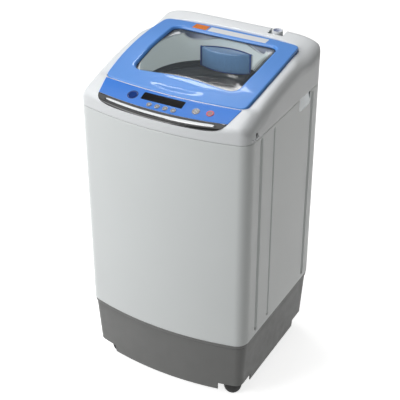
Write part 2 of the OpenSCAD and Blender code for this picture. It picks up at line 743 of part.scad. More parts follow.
module drain_elbow() color("gray") difference() {
  union() {
    translate([drain_x, drain_y, outlet_z]) cylinder(r = 12.5, h = drain_elbow_top - outlet_z);
    translate([drain_x, drain_y, outlet_z]) sphere(r = 14);
    translate([outlet_x, drain_y, outlet_z]) rotate([0, 90, 0]) cylinder(r = 12.5, h = drain_x - outlet_x);
    translate([outlet_x, drain_y, outlet_z]) sphere(r = 14);
    translate([outlet_x, drain_y, outlet_z]) rotate([-90, 0, 0]) cylinder(r = 12.5, h = y_rear - 0.5 - drain_y);
    translate([outlet_x, y_rear - 20, outlet_z]) rotate([-90, 0, 0]) cylinder(r = 14.5, h = 3);
  }
  translate([drain_x, drain_y, outlet_z]) cylinder(r = 9.5, h = 200);
  translate([outlet_x, drain_y, outlet_z]) rotate([-90, 0, 0]) cylinder(r = 9.5, h = 200);
  translate([outlet_x, drain_y, outlet_z]) rotate([0, 90, 0]) cylinder(r = 9.5, h = drain_x - outlet_x);
}

module cord_gland() color("black") translate([150, y_rear - 6, 232]) rotate([-90, 0, 0]) difference() {
  union() {
    translate([0, 0, -8]) cylinder(r = 8, h = 12);
    translate([0, 0, sheet + 0.2]) cylinder(r = 11, h = 2.5);
    translate([0, 0, sheet]) cylinder(r1 = 9, r2 = 6.5, h = 4.8);
    translate([0, 0, -6]) cylinder(r = 10.5, h = 5);
  }
  translate([0, 0, -10]) cylinder(r = 4, h = 30);
}

module run_capacitor() color("aliceblue") translate([-187, 40, plinth_top - plinth_rim + 3])
  cylinder(r = 14, h = 70);

module pressure_switch() color("ivory") translate([-172, y_rear - 30, 690]) {
  cylinder(r = 18, h = 14);
  translate([0, 0, 14]) cylinder(r = 10, h = 10);
  translate([0, 0, -14]) cylinder(r = 3.5, h = 14);
}

// ---------- basket ----------

module basket_drum() color("silver") translate([0, tub_y, 0]) difference() {
  translate([0, 0, basket_floor]) cylinder(r = basket_r + 1.2, h = ring_top - 24 - basket_floor);
  translate([0, 0, basket_floor + 1.5]) cylinder(r = basket_r, h = 500);
  translate([0, 0, basket_floor - 1]) cylinder(r = 40, h = 5);
  for (row = [0 : 5], a = [0 : 22.5 : 337.5])
    translate([0, 0, basket_floor + 50 + row * 42]) rotate([0, 90, a + (row % 2) * 11.25])
      translate([0, 0, basket_r - 4]) cylinder(r = 2.4, h = 8);
}

// Liquid-filled ring with a funnel-shaped mouth.
module balance_ring() color([0.3, 0.31, 0.33]) translate([0, tub_y, 0]) rotate_extrude($fn = 96) polygon([
  [basket_r - 0.3, ring_top - 40], [ring_r + 4, ring_top - 38], [ring_r, ring_top - 33], [ring_r, ring_top - 20],
  [ring_r + 2.5, ring_top - 13], [throat_r - 3.5, ring_top - 4], [throat_r, ring_top - 1], [throat_r + 3, ring_top],
  [basket_r - 2, ring_top], [basket_r + 1, ring_top - 3], [basket_r + 1, ring_top - 23.7],
  [basket_r - 0.3, ring_top - 23.7]]);

module basket_flange() color("darkgray") translate([0, tub_y, basket_floor - 10]) difference() {
  union() {
    for (a = [0, 60, 120]) rotate(a) translate([-basket_r + 14, -16, 0]) cube([2 * basket_r - 28, 32, 9.6]);
    cylinder(r = 60, h = 9.6);
    cylinder(r = 38, h = 14);
  }
  translate([0, 0, -1]) cylinder(r = 15.02, h = 40);
}

module spin_tube() color("lightgray") translate([0, tub_y, 206]) difference() {
  cylinder(r = 15, h = basket_floor - 206);
  translate([0, 0, -1]) cylinder(r = 6.5, h = 200);
}

module wash_shaft() color("silver") translate([0, tub_y, 176]) {
  cylinder(r = 6.2, h = basket_floor + 20 - 176);
  translate([0, 0, -1]) cylinder(r = 9, h = 7, $fn = 6);
}

module pulsator() color([0.75, 0.78, 0.8]) translate([0, tub_y, basket_floor + 6]) difference() {
  union() {
    rotate_extrude($fn = 96) polygon([[0, 0], [pulsator_r - 8, 0], [pulsator_r, 5], [pulsator_r, 9],
                                      [pulsator_r - 12, 11], [60, 14], [34, 22], [0, 24]]);
    for (a = [0 : 90 : 270]) rotate(a) translate([24, 0, 8]) rotate([90, 0, 90]) linear_extrude(pulsator_r - 34)
      polygon([[-10, 0], [10, 0], [3, 22], [-3, 22]]);
  }
  translate([0, 0, -1]) cylinder(r = 6.22, h = 15.1);
  translate([0, 0, 18]) cylinder(r = 11, h = 30);
}

module pulsator_cap() color("steelblue") translate([0, tub_y, basket_floor + 24.2]) {
  cylinder(r = 10.8, h = 6);
  translate([0, 0, 5]) cylinder(r1 = 10.8, r2 = 7, h = 3);
}

// A grooved pulley whose belt sits between two flanges.
module pulley(r, bore, web) difference() {
  union() {
    translate([0, 0, belt_z - 3]) cylinder(r = r + 4, h = 2.5);
    translate([0, 0, belt_z + belt_h + 0.5]) cylinder(r = r + 4, h = 2.5);
    translate([0, 0, belt_z - 1]) cylinder(r = r, h = belt_h + 2);
  }
  translate([0, 0, belt_z - 20]) cylinder(r = bore, h = 60);
  if (web) for (a = [0 : 60 : 300]) rotate(a) translate([r * 0.6, 0, belt_z - 20]) cylinder(r = r * 0.17, h = 60);
}

module drive_pulley() color("gainsboro") translate([0, tub_y, 0]) pulley(big_pulley_r, 6.22, true);
module motor_pulley() color("gray") translate([motor_x, motor_y, 0]) pulley(small_pulley_r, 5.02, false);
module motor_shaft() color("silver") translate([motor_x, motor_y, 178]) cylinder(r = 5, h = 112);

// ---------- feet ----------

module foot(x, y) color([0.1, 0.1, 0.11]) translate([x, y, 0]) {
  rotate_extrude($fn = 48) polygon([[0, 0], [13, 0], [15.5, 1], [19, 6], [21.5, 13], [22.5, 21], [22.5, 30],
                                    [20, 33], [0, 33]]);
  cylinder(r = 4, h = 84);
}

module foot_locknuts() color("silver") for (x = [-foot_x, foot_x], y = foot_ys)
  translate([x, y, plinth_corner + 9]) difference() {
    cylinder(r = 7.5, h = 6.5, $fn = 6);
    translate([0, 0, -1]) cylinder(r = 4.3, h = 10);
  }

// ---------- nodes ----------

base_plinth();
cabinet_wrap();
back_panel();
top_cover();
opening_liner();
control_panel();
panel_trim();
display_window();
control_board();
lid_switch();
water_valve();
inlet_screen();
dispenser_housing();
hand_grips();
suspension_seats();
suspension_rods();
suspension_springs();
drain_elbow();
drain_bellows();
cord_gland();
run_capacitor();
pressure_switch();
body_screws();
foot_locknuts();
outer_tub();
tub_cover();
drive_frame();
bearing_housing();
motor_housing();
drive_belt();
drain_valve();
basket_drum();
balance_ring();
basket_flange();
spin_tube();
pulsator();
pulsator_cap();
wash_shaft();
drive_pulley();
motor_shaft();
motor_pulley();
lid_frame();
lid_window();
lid_hinge_pins();
lid_label_orange();
lid_label_white();
lid_buffers();
drawer_frame();
drawer_tray();
color("gray") push_button([function_xs[0], function_y], small_r);  // function_button_1
color("gray") push_button([function_xs[1], function_y], small_r);  // function_button_2
color("gray") push_button([function_xs[2], function_y], small_r);  // function_button_3
color("gray") push_button([function_xs[3], function_y], small_r);  // function_button_4
color("gray") push_button(start_place, large_r);  // start_button
color("indianred") push_button(power_place, large_r);  // power_button
color("midnightblue") push_button(program_place, program_r);  // program_button
foot(-foot_x, foot_ys[0]);  // foot_front_left
foot(foot_x, foot_ys[0]);  // foot_front_right
foot(-foot_x, foot_ys[1]);  // foot_rear_left
foot(foot_x, foot_ys[1]);  // foot_rear_right
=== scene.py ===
import bpy, bmesh, json
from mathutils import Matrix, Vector
from math import sin, cos, asin, atan2, hypot, sqrt, pi, radians, exp, copysign


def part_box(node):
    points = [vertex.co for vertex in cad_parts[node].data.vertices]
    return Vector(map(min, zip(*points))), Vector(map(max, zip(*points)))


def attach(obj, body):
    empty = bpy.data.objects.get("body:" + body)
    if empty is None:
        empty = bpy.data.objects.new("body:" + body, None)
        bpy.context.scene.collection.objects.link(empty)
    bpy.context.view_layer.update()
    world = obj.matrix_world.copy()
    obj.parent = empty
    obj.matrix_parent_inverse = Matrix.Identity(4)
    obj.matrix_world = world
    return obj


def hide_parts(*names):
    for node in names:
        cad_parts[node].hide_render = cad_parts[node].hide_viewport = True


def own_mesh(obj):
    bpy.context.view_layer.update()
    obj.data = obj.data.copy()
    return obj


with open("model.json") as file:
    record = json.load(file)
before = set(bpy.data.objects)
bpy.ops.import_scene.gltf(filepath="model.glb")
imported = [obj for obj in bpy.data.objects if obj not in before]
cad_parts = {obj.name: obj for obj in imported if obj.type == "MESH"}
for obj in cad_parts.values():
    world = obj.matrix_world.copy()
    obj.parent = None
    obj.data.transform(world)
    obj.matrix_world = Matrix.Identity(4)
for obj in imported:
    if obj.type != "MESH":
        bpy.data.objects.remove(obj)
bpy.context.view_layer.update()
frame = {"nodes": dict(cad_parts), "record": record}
nodes = frame["nodes"]
MM = 0.001

# ---- dimensions, in millimetres
HALF_W, FRONT, REAR, CORNER_R = 210.0, -202.0, 202.0, 32.0
BOW_R = (HALF_W ** 2 + 30.0 ** 2) / 60.0
CORNER_X, BOW_Y = HALF_W - CORNER_R, FRONT + BOW_R
CORNER_Y = BOW_Y - sqrt((BOW_R - CORNER_R) ** 2 - CORNER_X * CORNER_X)
TURN = atan2(CORNER_Y - BOW_Y, CORNER_X)
ARC_R, ARC_Y, ARC_Z = 1015.0, 162.0, 802.0 - 1015.0
TUB_Y = 15.0
LID_FRONT, LID_BACK, LID_HW = -120.0, 146.0, 179.0
LID_FRONT_HW, LID_FRONT_BOW, LID_BACK_HW, LID_BACK_BOW = 171.5, 9.0, 173.0, 11.0
HINGE_Y, LID_DEPTH, THROAT_R, HOLE_R = 136.0, 10.6, 142.0, 143.6
PANEL_FRONT, PANEL_HW, PANEL_REAR_HW, PANEL_BOW, PANEL_GAP = -170.0, 158.0, 167.5, 11.5, 4.3
SEAM_X = 174.0
DRAIN_X, DRAIN_Y, BELLOWS_TOP = -112.0, 115.0, 282.0


def arc(y):
    return ARC_Z + sqrt(ARC_R ** 2 - (y - ARC_Y) ** 2)


HINGE_Z = arc(HINGE_Y) - 6.0


def bow(hc, b):
    return (hc * hc + b * b) / (2 * b)


def smooth(a, b, x):
    t = min(1.0, max(0.0, (x - a) / (b - a)))
    return t * t * (3 - 2 * t)


# ---- outlines as signed functions
def rounded(ds, r):
    """Signed distance to an intersection of half spaces with corners rounded by r."""
    a = sorted((d + r for d in ds), reverse=True)[:2]
    if a[1] > 0:
        return hypot(a[0], a[1]) - r
    return a[0] - r


def f_lid(x, y):
    rf, rb = bow(LID_FRONT_HW, LID_FRONT_BOW), bow(LID_BACK_HW, LID_BACK_BOW)
    sr = bow((LID_BACK - LID_FRONT) / 2, 7.2)
    mid = (LID_FRONT + LID_BACK) / 2
    front = hypot(x, y - (LID_FRONT - LID_FRONT_BOW + rf)) - rf if y < LID_FRONT + 60 else -99
    back = hypot(x, y - (LID_BACK + LID_BACK_BOW - rb)) - rb if y > LID_BACK - 60 else -99
    side = hypot(abs(x) - (LID_HW - sr), y - mid) - sr
    return rounded([front if y < mid else back, side], 12.0)


WIN_F, WIN_B, WIN_HW = LID_FRONT + 41, LID_BACK - 23, 137.0


def f_window(x, y):
    ax = abs(x)
    front = (WIN_F + 9 * cos(radians(min(90, ax * 0.82))) ** 1.5) - y
    back = y - WIN_B
    mid = WIN_F + (WIN_B - WIN_F) * 0.45
    half = WIN_HW - (6.0 * (mid - y) / (mid - WIN_F) if y < mid else 1.5 * (y - mid) / (WIN_B - 12 - mid))
    side = ax - half
    return rounded([front if y < mid else back, side], 20.0)


def f_body(x, y, inset=0.0):
    r, cx, cy, bow_y, turn = CORNER_R, CORNER_X, CORNER_Y, BOW_Y, TURN
    if abs(x) > cx and y > REAR - r:
        return hypot(abs(x) - cx, y - (REAR - r)) - r + inset
    a = atan2(y - bow_y, abs(x))
    if a < turn and y < cy + 60:
        return hypot(x, y - bow_y) - BOW_R + inset
    if y < cy and abs(x) > cx:
        return hypot(abs(x) - cx, y - cy) - r + inset
    return max(abs(x) - HALF_W, y - REAR) + inset


def reach(f, ang, cx=0.0, cy=TUB_Y, level=0.0, far=420.0):
    """Distance from (cx, cy) along ang where f rises through level."""
    lo, hi = 0.0, far
    for _ in range(44):
        m = (lo + hi) / 2
        if f(cx + m * cos(ang), cy + m * sin(ang)) < level:
            lo = m
        else:
            hi = m
    return lo


def body_points(inset=0.0, step=5.0):
    """The body's outline, anticlockwise from the right side, evenly spaced with its arcs refined."""
    r, cx, cy, bow_y, turn = CORNER_R, CORNER_X, CORNER_Y, BOW_Y, TURN
    pts = []

    def line(p, q):
        n = max(1, int(round(hypot(q[0] - p[0], q[1] - p[1]) / step)))
        for i in range(n):
            pts.append((p[0] + (q[0] - p[0]) * i / n, p[1] + (q[1] - p[1]) * i / n))

    def turn_arc(x, y, rr, a0, a1, n):
        for i in range(n):
            a = a0 + (a1 - a0) * i / n
            pts.append((x + rr * cos(a), y + rr * sin(a)))

    line((HALF_W - inset, cy), (HALF_W - inset, REAR - r))
    turn_arc(cx, REAR - r, r - inset, 0, pi / 2, 14)
    line((cx, REAR - inset), (-cx, REAR - inset))
    turn_arc(-cx, REAR - r, r - inset, pi / 2, pi, 14)
    line((inset - HALF_W, REAR - r), (inset - HALF_W, cy))
    turn_arc(-cx, cy, r - inset, pi, pi - turn, 14)
    turn_arc(0, bow_y, BOW_R - inset, -pi - turn, turn, 84)
    turn_arc(cx, cy, r - inset, turn, 0, 14)
    return pts


# ---- mesh helpers
SIDES = ((-1, "left"), (1, "right"))


def link(name, me, body, material, replaces=()):
    """Adds a piece with its body and material, and hides the CAD nodes it replaces."""
    o = bpy.data.objects.new(name, me)
    bpy.context.scene.collection.objects.link(o)
    me.materials.append(material)
    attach(o, body)
    if replaces:
        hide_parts(*replaces)
    return o


def piece(name, shape, body, material, replaces=(), angle=35.0, weld=0.0):
    """A piece made from vertices and faces."""
    return link(name, mesh(name, *shape, angle, weld), body, material, replaces)


def mesh(name, verts, faces, angle=35.0, weld=0.0):
    me = bpy.data.meshes.new(name)
    bm = bmesh.new()
    vs = [bm.verts.new((x * MM, y * MM, z * MM)) for x, y, z in verts]
    for f in faces:
        f = [k for i, k in enumerate(f) if k != f[i - 1]]
        if len(set(f)) > 2:
            try:
                bm.faces.new([vs[k] for k in f])
            except ValueError:
                pass
    loose = [v for v in bm.verts if not v.link_faces]
    bmesh.ops.delete(bm, geom=loose, context="VERTS")
    bmesh.ops.remove_doubles(bm, verts=bm.verts, dist=max(weld, 0.002) * MM)
    bmesh.ops.recalc_face_normals(bm, faces=bm.faces)
    finish_bm(bm, me, angle)
    return me


def finish_bm(bm, me, angle=35.0):
    lim = radians(angle)
    for f in bm.faces:
        f.smooth = True
    for e in bm.edges:
        e.smooth = not (len(e.link_faces) == 2 and e.calc_face_angle(0) > lim)
    bm.to_mesh(me)
    bm.free()


def resmooth(o, angle=35.0):
    bm = bmesh.new()
    bm.from_mesh(o.data)
    finish_bm(bm, o.data, angle)


def apply_mods(o):
    dg = bpy.context.evaluated_depsgraph_get()
    dg.update()
    me = bpy.data.meshes.new_from_object(o.evaluated_get(dg))
    old = o.data
    o.modifiers.clear()
    o.data = me
    bpy.data.meshes.remove(old)


def solidify(o, t, offset=-1.0, angle=35.0, even=True):
    m = o.modifiers.new("t", "SOLIDIFY")
    m.thickness, m.offset, m.use_even_offset = t * MM, offset, even
    m.use_quality_normals = even
    apply_mods(o)
    resmooth(o, angle)


def cut(o, cutters):
    for c in cutters:
        m = o.modifiers.new("c", "BOOLEAN")
        m.operation, m.object, m.solver = "DIFFERENCE", c, "EXACT"
        apply_mods(o)
    for c in cutters:
        bpy.data.objects.remove(c)
    resmooth(o)


def grid(rows, close=False, skip=None):
    """Vertices and faces of a grid of points; rows of equal length, closed round each row if asked."""
    n = len(rows[0])
    verts = [p for r in rows for p in r]
    faces = []
    for j in range(len(rows) - 1):
        for i in range(n if close else n - 1):
            if skip and skip(j, i):
                continue
            k = (i + 1) % n
            faces.append((j * n + i, j * n + k, (j + 1) * n + k, (j + 1) * n + i))
    return verts, faces


def span(a, b, n):
    """n + 1 even steps from a to b."""
    return [a + (b - a) * i / n for i in range(n + 1)]


def turned(cols):
    """Rows out of columns."""
    return [list(row) for row in zip(*cols)]


def capped(shape, n):
    """Adds the two end faces of a grid whose rows are closed rings of n points."""
    v, f = shape
    return v, f + [tuple(range(n)), tuple(len(v) - n + i for i in range(n))]


def between(low, high):
    """Vertices and faces of the solid between two outlines of equal length."""
    n = len(low)
    sides = [(i, (i + 1) % n, n + (i + 1) % n, n + i) for i in range(n)]
    return low + high, [tuple(range(n)), tuple(range(n, 2 * n))] + sides


def circle(r, z, n, cx=0.0, cy=0.0):
    return [(cx + r * cos(2 * pi * i / n), cy + r * sin(2 * pi * i / n), z) for i in range(n)]


def bevel(o, width, angle=30.0):
    m = o.modifiers.new("b", "BEVEL")
    m.width, m.segments, m.limit_method, m.angle_limit = width * MM, 2, "ANGLE", radians(angle)
    apply_mods(o)


def lathe(name, profile, cx, cy, n=128, close=False, wob=None, angle=35.0):
    """Revolved (r, z) profile."""
    rows = []
    for r, z in (profile + profile[:1] if close else profile):
        row = []
        for i in range(n):
            a = 2 * pi * i / n
            rr = r + (wob(r, z, a) if wob else 0)
            row.append((cx + rr * cos(a), cy + rr * sin(a), z))
        rows.append(row)
    shape = grid(rows, close=True)
    return mesh(name, *(shape if close else capped(shape, n)), angle)


def rounded_profile(pts, r, n=5):
    """Rounds the inner corners of an open (r, z) polyline."""
    out = [pts[0]]
    for p, q, s in zip(pts, pts[1:], pts[2:]):
        a, b = Vector(p) - Vector(q), Vector(s) - Vector(q)
        d = min(r, a.length * 0.48, b.length * 0.48)
        a.normalize(), b.normalize()
        A, B = Vector(q) + a * d, Vector(q) + b * d
        for i in range(n + 1):
            t = i / n
            c = A * (1 - t) ** 2 + Vector(q) * 2 * t * (1 - t) + B * t * t
            out.append((c.x, c.y))
    out.append(pts[-1])
    return out


def prism(name, pts, z0, z1):
    """Closed prism of a plan."""
    return mesh(name, *between([(x, y, z0) for x, y in pts], [(x, y, z1) for x, y in pts]))


def cutter(me):
    o = bpy.data.objects.new("cut", me)
    bpy.context.scene.collection.objects.link(o)
    return o


def rod(x, y, z, axis, r, h, n=40, r2=None):
    """Closed cylinder or cone from a point along an axis."""
    axis = Vector(axis).normalized()
    u = axis.orthogonal().normalized()
    w = axis.cross(u)
    r2 = r if r2 is None else r2
    v = []
    for rr, t in ((r, 0.0), (r2, h)):
        for i in range(n):
            a = 2 * pi * i / n
            p = Vector((x, y, z)) + axis * t + (u * cos(a) + w * sin(a)) * rr
            v.append(tuple(p))
    return mesh("rod", *between(v[:n], v[n:]))


def notch(me, planes):
    """Cuts a convex pocket, bounded by (point, outward normal) planes, out of a sheet."""
    bm = bmesh.new()
    bm.from_mesh(me)

    def within(c, slack):
        return all((c - Vector(p) * MM).dot(Vector(n)) < slack * MM for p, n in planes)
    near = [f for f in bm.faces if any(within(v.co, 14.0) for v in f.verts)]
    for p, n in planes:
        near = [f for f in near if f.is_valid]
        geom = near + list({e for f in near for e in f.edges}) + list({v for f in near for v in f.verts})
        got = bmesh.ops.bisect_plane(bm, geom=geom, plane_co=Vector(p) * MM, plane_no=Vector(n), dist=1e-7)
        near = [g for g in got["geom"] if isinstance(g, bmesh.types.BMFace)]
    gone = [f for f in bm.faces if within(f.calc_center_median(), -0.001)]
    bmesh.ops.delete(bm, geom=gone, context="FACES")
    bmesh.ops.dissolve_degenerate(bm, dist=0.03 * MM, edges=bm.edges)
    finish_bm(bm, me, 40)


def rrect(cx, cy, w, d, r, n=6):
    pts = []
    for sx, sy, a0 in ((1, -1, -pi / 2), (1, 1, 0), (-1, 1, pi / 2), (-1, -1, pi)):
        for i in range(n + 1):
            a = a0 + pi / 2 * i / n
            pts.append((cx + sx * (w / 2 - r) + r * cos(a), cy + sy * (d / 2 - r) + r * sin(a)))
    return pts


def tilt(y):
    return asin((ARC_Y - y) / ARC_R)


def on_arc(x, y, u, v, h):
    """A point at (u, v) in the arc's tangent plane at (x, y) and h above it."""
    a = tilt(y)
    return (x + u, y + v * cos(a) - h * sin(a), arc(y) + v * sin(a) + h * cos(a))


# ---- materials
MATS = {}


def put(node, **values):
    """Sets inputs of a shader node; an underscore stands for a space in the input's name."""
    for key, value in values.items():
        node.inputs[key.replace("_", " ")].default_value = value


def mat(name, color, rough=0.4, metal=0.0, coat=0.0, coat_rough=0.08, vary=0.04, vary_scale=9.0, grain=0.0,
        grain_scale=1400.0, rvar=0.05, rscale=40.0, stretch=(1, 1, 1), aniso=0.0, spec=0.5):
    """A principled material with a slow drift of colour, uneven roughness and a fine grain."""
    m = MATS[name] = bpy.data.materials.new(name)
    m.use_nodes = True
    N, L = m.node_tree.nodes, m.node_tree.links
    b = N["Principled BSDF"]
    put(b, Metallic=metal, Coat_Weight=coat, Coat_Roughness=coat_rough, Anisotropic=aniso, IOR=1.45,
        Specular_IOR_Level=spec)
    plain = N.new("ShaderNodeTexCoord").outputs["Object"]
    mapping = N.new("ShaderNodeMapping")
    put(mapping, Scale=stretch)
    L.new(plain, mapping.inputs["Vector"])
    stretched = mapping.outputs["Vector"]

    def noise(scale, detail, vector, target):
        n = N.new("ShaderNodeTexNoise")
        put(n, Scale=scale, Detail=detail)
        L.new(vector, n.inputs["Vector"])
        L.new(n.outputs["Fac"], target)
    ramp = N.new("ShaderNodeValToRGB")
    for e, position, gain in zip(ramp.color_ramp.elements, (0.3, 0.7), (1 - vary, 1 + vary)):
        e.position = position
        e.color = [min(1.0, x * gain) for x in color] + [1]
    noise(vary_scale, 3.0, plain, ramp.inputs["Fac"])
    L.new(ramp.outputs["Color"], b.inputs["Base Color"])
    spread = N.new("ShaderNodeMapRange")
    put(spread, From_Min=0.3, From_Max=0.7, To_Min=max(0.02, rough - rvar), To_Max=min(1.0, rough + rvar))
    noise(rscale, 4.0, stretched, spread.inputs["Value"])
    L.new(spread.outputs["Result"], b.inputs["Roughness"])
    if grain:
        bump = N.new("ShaderNodeBump")
        put(bump, Strength=grain, Distance=0.0002)
        noise(grain_scale, 2.0, stretched, bump.inputs["Height"])
        L.new(bump.outputs["Normal"], b.inputs["Normal"])
    return m


def painted_light_glow(m, color, strength):
    """Adds a faint glow that stands for light bounced about inside a recess."""
    b = m.node_tree.nodes["Principled BSDF"]
    put(b, Emission_Color=color, Emission_Strength=strength)


def math_node(N, L, op, a, b=None, c=None, clamp=False):
    n = N.new("ShaderNodeMath")
    n.operation = op
    n.use_clamp = clamp
    for i, v in enumerate((a, b, c)):
        if v is None:
            continue
        if isinstance(v, (int, float)):
            n.inputs[i].default_value = v
        else:
            L.new(v, n.inputs[i])
    return n.outputs[0]


WHITE = (0.80, 0.835, 0.835)
M_ENAMEL = mat("white_enamel", WHITE, 0.34, coat=0.35, coat_rough=0.16, vary=0.012, vary_scale=5, grain=0.05,
               grain_scale=420, rvar=0.04)
M_COVER = mat("white_plastic", (0.87, 0.895, 0.915), 0.34, coat=0.25, coat_rough=0.16, vary=0.012,
              vary_scale=5,
              grain=0.05, grain_scale=420)
# painted light: the white_scoop material glows faintly to stand for light falling into the shadowed grip
# scoop
M_GRIP = mat("white_scoop", (0.87, 0.895, 0.915), 0.4, vary=0.012, vary_scale=6, grain=0.05, grain_scale=700)
painted_light_glow(M_GRIP, (0.9, 0.93, 0.94, 1), 0.26)
M_LINER = mat("liner_plastic", (0.66, 0.73, 0.72), 0.34, vary=0.03, vary_scale=7, grain=0.04)
M_PLINTH = mat("plinth_plastic", (0.168, 0.170, 0.166), 0.46, vary=0.03, vary_scale=14, grain=0.22,
               grain_scale=1500,
               rvar=0.06)
mat("galvanised", (0.60, 0.62, 0.63), 0.42, metal=0.85, vary=0.14, vary_scale=55, rvar=0.12,
    rscale=60,
             grain=0.05)
M_PANEL = mat("panel_blue", (0.010, 0.20, 0.76), 0.36, coat=0.25, coat_rough=0.10, vary=0.05, vary_scale=8,
              grain=0.03, grain_scale=2400)
M_LID = mat("lid_blue", (0.105, 0.325, 0.84), 0.36, coat=0.35, coat_rough=0.04, vary=0.03, vary_scale=6,
            rvar=0.03,
            grain=0.02, grain_scale=500)
M_TRIM = mat("trim_black", (0.004, 0.004, 0.005), 0.10, coat=0.25, coat_rough=0.03, vary=0.2, rvar=0.03)
M_DISPLAY = mat("display_black", (0.003, 0.003, 0.004), 0.35, coat=0.0, vary=0.2, rvar=0.03, spec=0.12)
mat("board_green", (0.02, 0.16, 0.06), 0.45, vary=0.2, vary_scale=90, grain=0.1)
mat("part_ivory", (0.72, 0.69, 0.58), 0.5, vary=0.04, grain=0.08)
M_INLET = mat("inlet_blue", (0.03, 0.12, 0.60), 0.5, vary=0.1, grain=0.2)
M_BLACK = mat("black_plastic", (0.012, 0.012, 0.013), 0.42, vary=0.2, grain=0.15)
M_GREYRUB = mat("grey_rubber", (0.10, 0.10, 0.105), 0.7, vary=0.12, grain=0.3, grain_scale=900)
M_BLACKRUB = mat("black_rubber", (0.018, 0.018, 0.018), 0.62, vary=0.2, grain=0.35, grain_scale=1100)
mat("tub_plastic", (0.68, 0.69, 0.66), 0.5, vary=0.03, grain=0.1)
mat("stainless", (0.44, 0.45, 0.46), 0.27, metal=1.0, vary=0.07, vary_scale=30, rvar=0.08,
    rscale=220,
              stretch=(1, 1, 14), grain=0.06, grain_scale=300, aniso=0.4)
M_RING = mat("ring_grey", (0.055, 0.057, 0.06), 0.2, coat=0.6, coat_rough=0.08, vary=0.1, rvar=0.05)
mat("flange_alloy", (0.55, 0.56, 0.57), 0.45, metal=0.9, vary=0.1, vary_scale=70, grain=0.4,
    grain_scale=700)
M_SHAFT = mat("shaft_steel", (0.52, 0.53, 0.54), 0.25, metal=1.0, vary=0.08, vary_scale=60, grain=0.08)
mat("motor_paint", (0.03, 0.03, 0.033), 0.4, vary=0.15, grain=0.2)
M_SPRING = mat("spring_steel", (0.36, 0.37, 0.39), 0.32, metal=1.0, vary=0.12, vary_scale=90, grain=0.1)
M_PULS = mat("pulsator_grey", (0.48, 0.52, 0.55), 0.3, vary=0.03, coat=0.2)
mat("capacitor_can", (0.62, 0.63, 0.65), 0.3, metal=0.9, vary=0.05, rvar=0.1)
M_ORANGE = mat("label_orange", (0.80, 0.20, 0.012), 0.45, vary=0.03, grain=0.05)
M_LABEL = mat("label_white", (0.82, 0.84, 0.87), 0.42, vary=0.02, grain=0.05)
M_NAVY = mat("frame_navy", (0.008, 0.045, 0.23), 0.22, coat=0.4, vary=0.1)
M_DRAWER = mat("drawer_blue", (0.16, 0.34, 0.62), 0.22, coat=0.4, vary=0.06, vary_scale=30)
M_DRAWTOP = mat("drawer_lens", (0.30, 0.50, 0.78), 0.16, coat=0.6, vary=0.04)
# painted light: a faint glow on the liner stands for light bounced into the opening under the lid
painted_light_glow(M_LINER, (0.60, 0.68, 0.66, 1), 0.28)
M_KEY = mat("key_grey", (0.22, 0.235, 0.25), 0.3, coat=0.3, vary=0.05)
M_KEYRIM = mat("key_rim", (0.42, 0.40, 0.40), 0.28, metal=0.5, vary=0.05)
M_RED = mat("key_red", (0.74, 0.11, 0.15), 0.3, coat=0.4, vary=0.05)
M_KEYNAVY = mat("key_navy", (0.006, 0.04, 0.21), 0.6, coat=0.0, spec=0.12, vary=0.1)
M_PRINT = mat("key_print", (0.80, 0.80, 0.78), 0.45, vary=0.03)

for sp in frame["record"]["subparts"]:
    o = nodes[sp["node"]]
    o.data.materials.clear()
    o.data.materials.append(MATS.get(sp["material_slot"], M_BLACK))


# ---- cabinet
GROOVES = ((-114.0, 14.0, 4.6), (-52.0, 8.0, 3.2), (144.0, 14.0, 4.6))
GRIP_LO, GRIP_HI = 75.0, 133.0


def groove_depth(y, z, z0=199.0, z1=695.0):
    d = 0.0
    for yc, w, depth in GROOVES:
        e = max(0.0, z0 - z, z - z1) / (w / 2)
        q = hypot((y - yc) / (w / 2), e)
        d = max(d, depth * (1 - smooth(0.45, 1.0, q)))
    return d


def side_ys(y0, y1):
    ys = [y0, y1, GRIP_LO, GRIP_HI]
    y = y0
    while y < y1:
        ys.append(y)
        y += 8.0
    for yc, w, _ in GROOVES:
        ys += [yc + w / 2 * k / 6 for k in range(-7, 8)]
    ys = sorted(v for v in ys if y0 <= v <= y1)
    out = []
    for v in ys:
        if out and v - out[-1] < 0.45 and v not in (GRIP_LO, GRIP_HI, y1):
            continue
        if out and v - out[-1] < 0.45:
            out[-1] = v
        else:
            out.append(v)
    return out


def wrap_columns():
    r, cx, cy, bow_y, turn = CORNER_R, CORNER_X, CORNER_Y, BOW_Y, TURN
    cols = []
    n = 14
    cols.append((SEAM_X, REAR, 0, 1))
    for i in range(n):
        a = pi / 2 - pi / 2 * i / n
        cols.append((cx + r * cos(a), REAR - r + r * sin(a), cos(a), sin(a)))
    for y in reversed(side_ys(cy, REAR - r)):
        cols.append((HALF_W, y, 1, 0))
    for i in range(1, n):
        a = turn * i / n
        cols.append((cx + r * cos(a), cy + r * sin(a), cos(a), sin(a)))
    m = 90
    for i in range(m + 1):
        a = turn + (-pi - turn - turn) * i / m
        cols.append((BOW_R * cos(a), bow_y + BOW_R * sin(a), cos(a), sin(a)))
    for c in list(reversed(cols[:-(m + 1)])):
        cols.append((-c[0], c[1], -c[2], c[3]))
    return cols


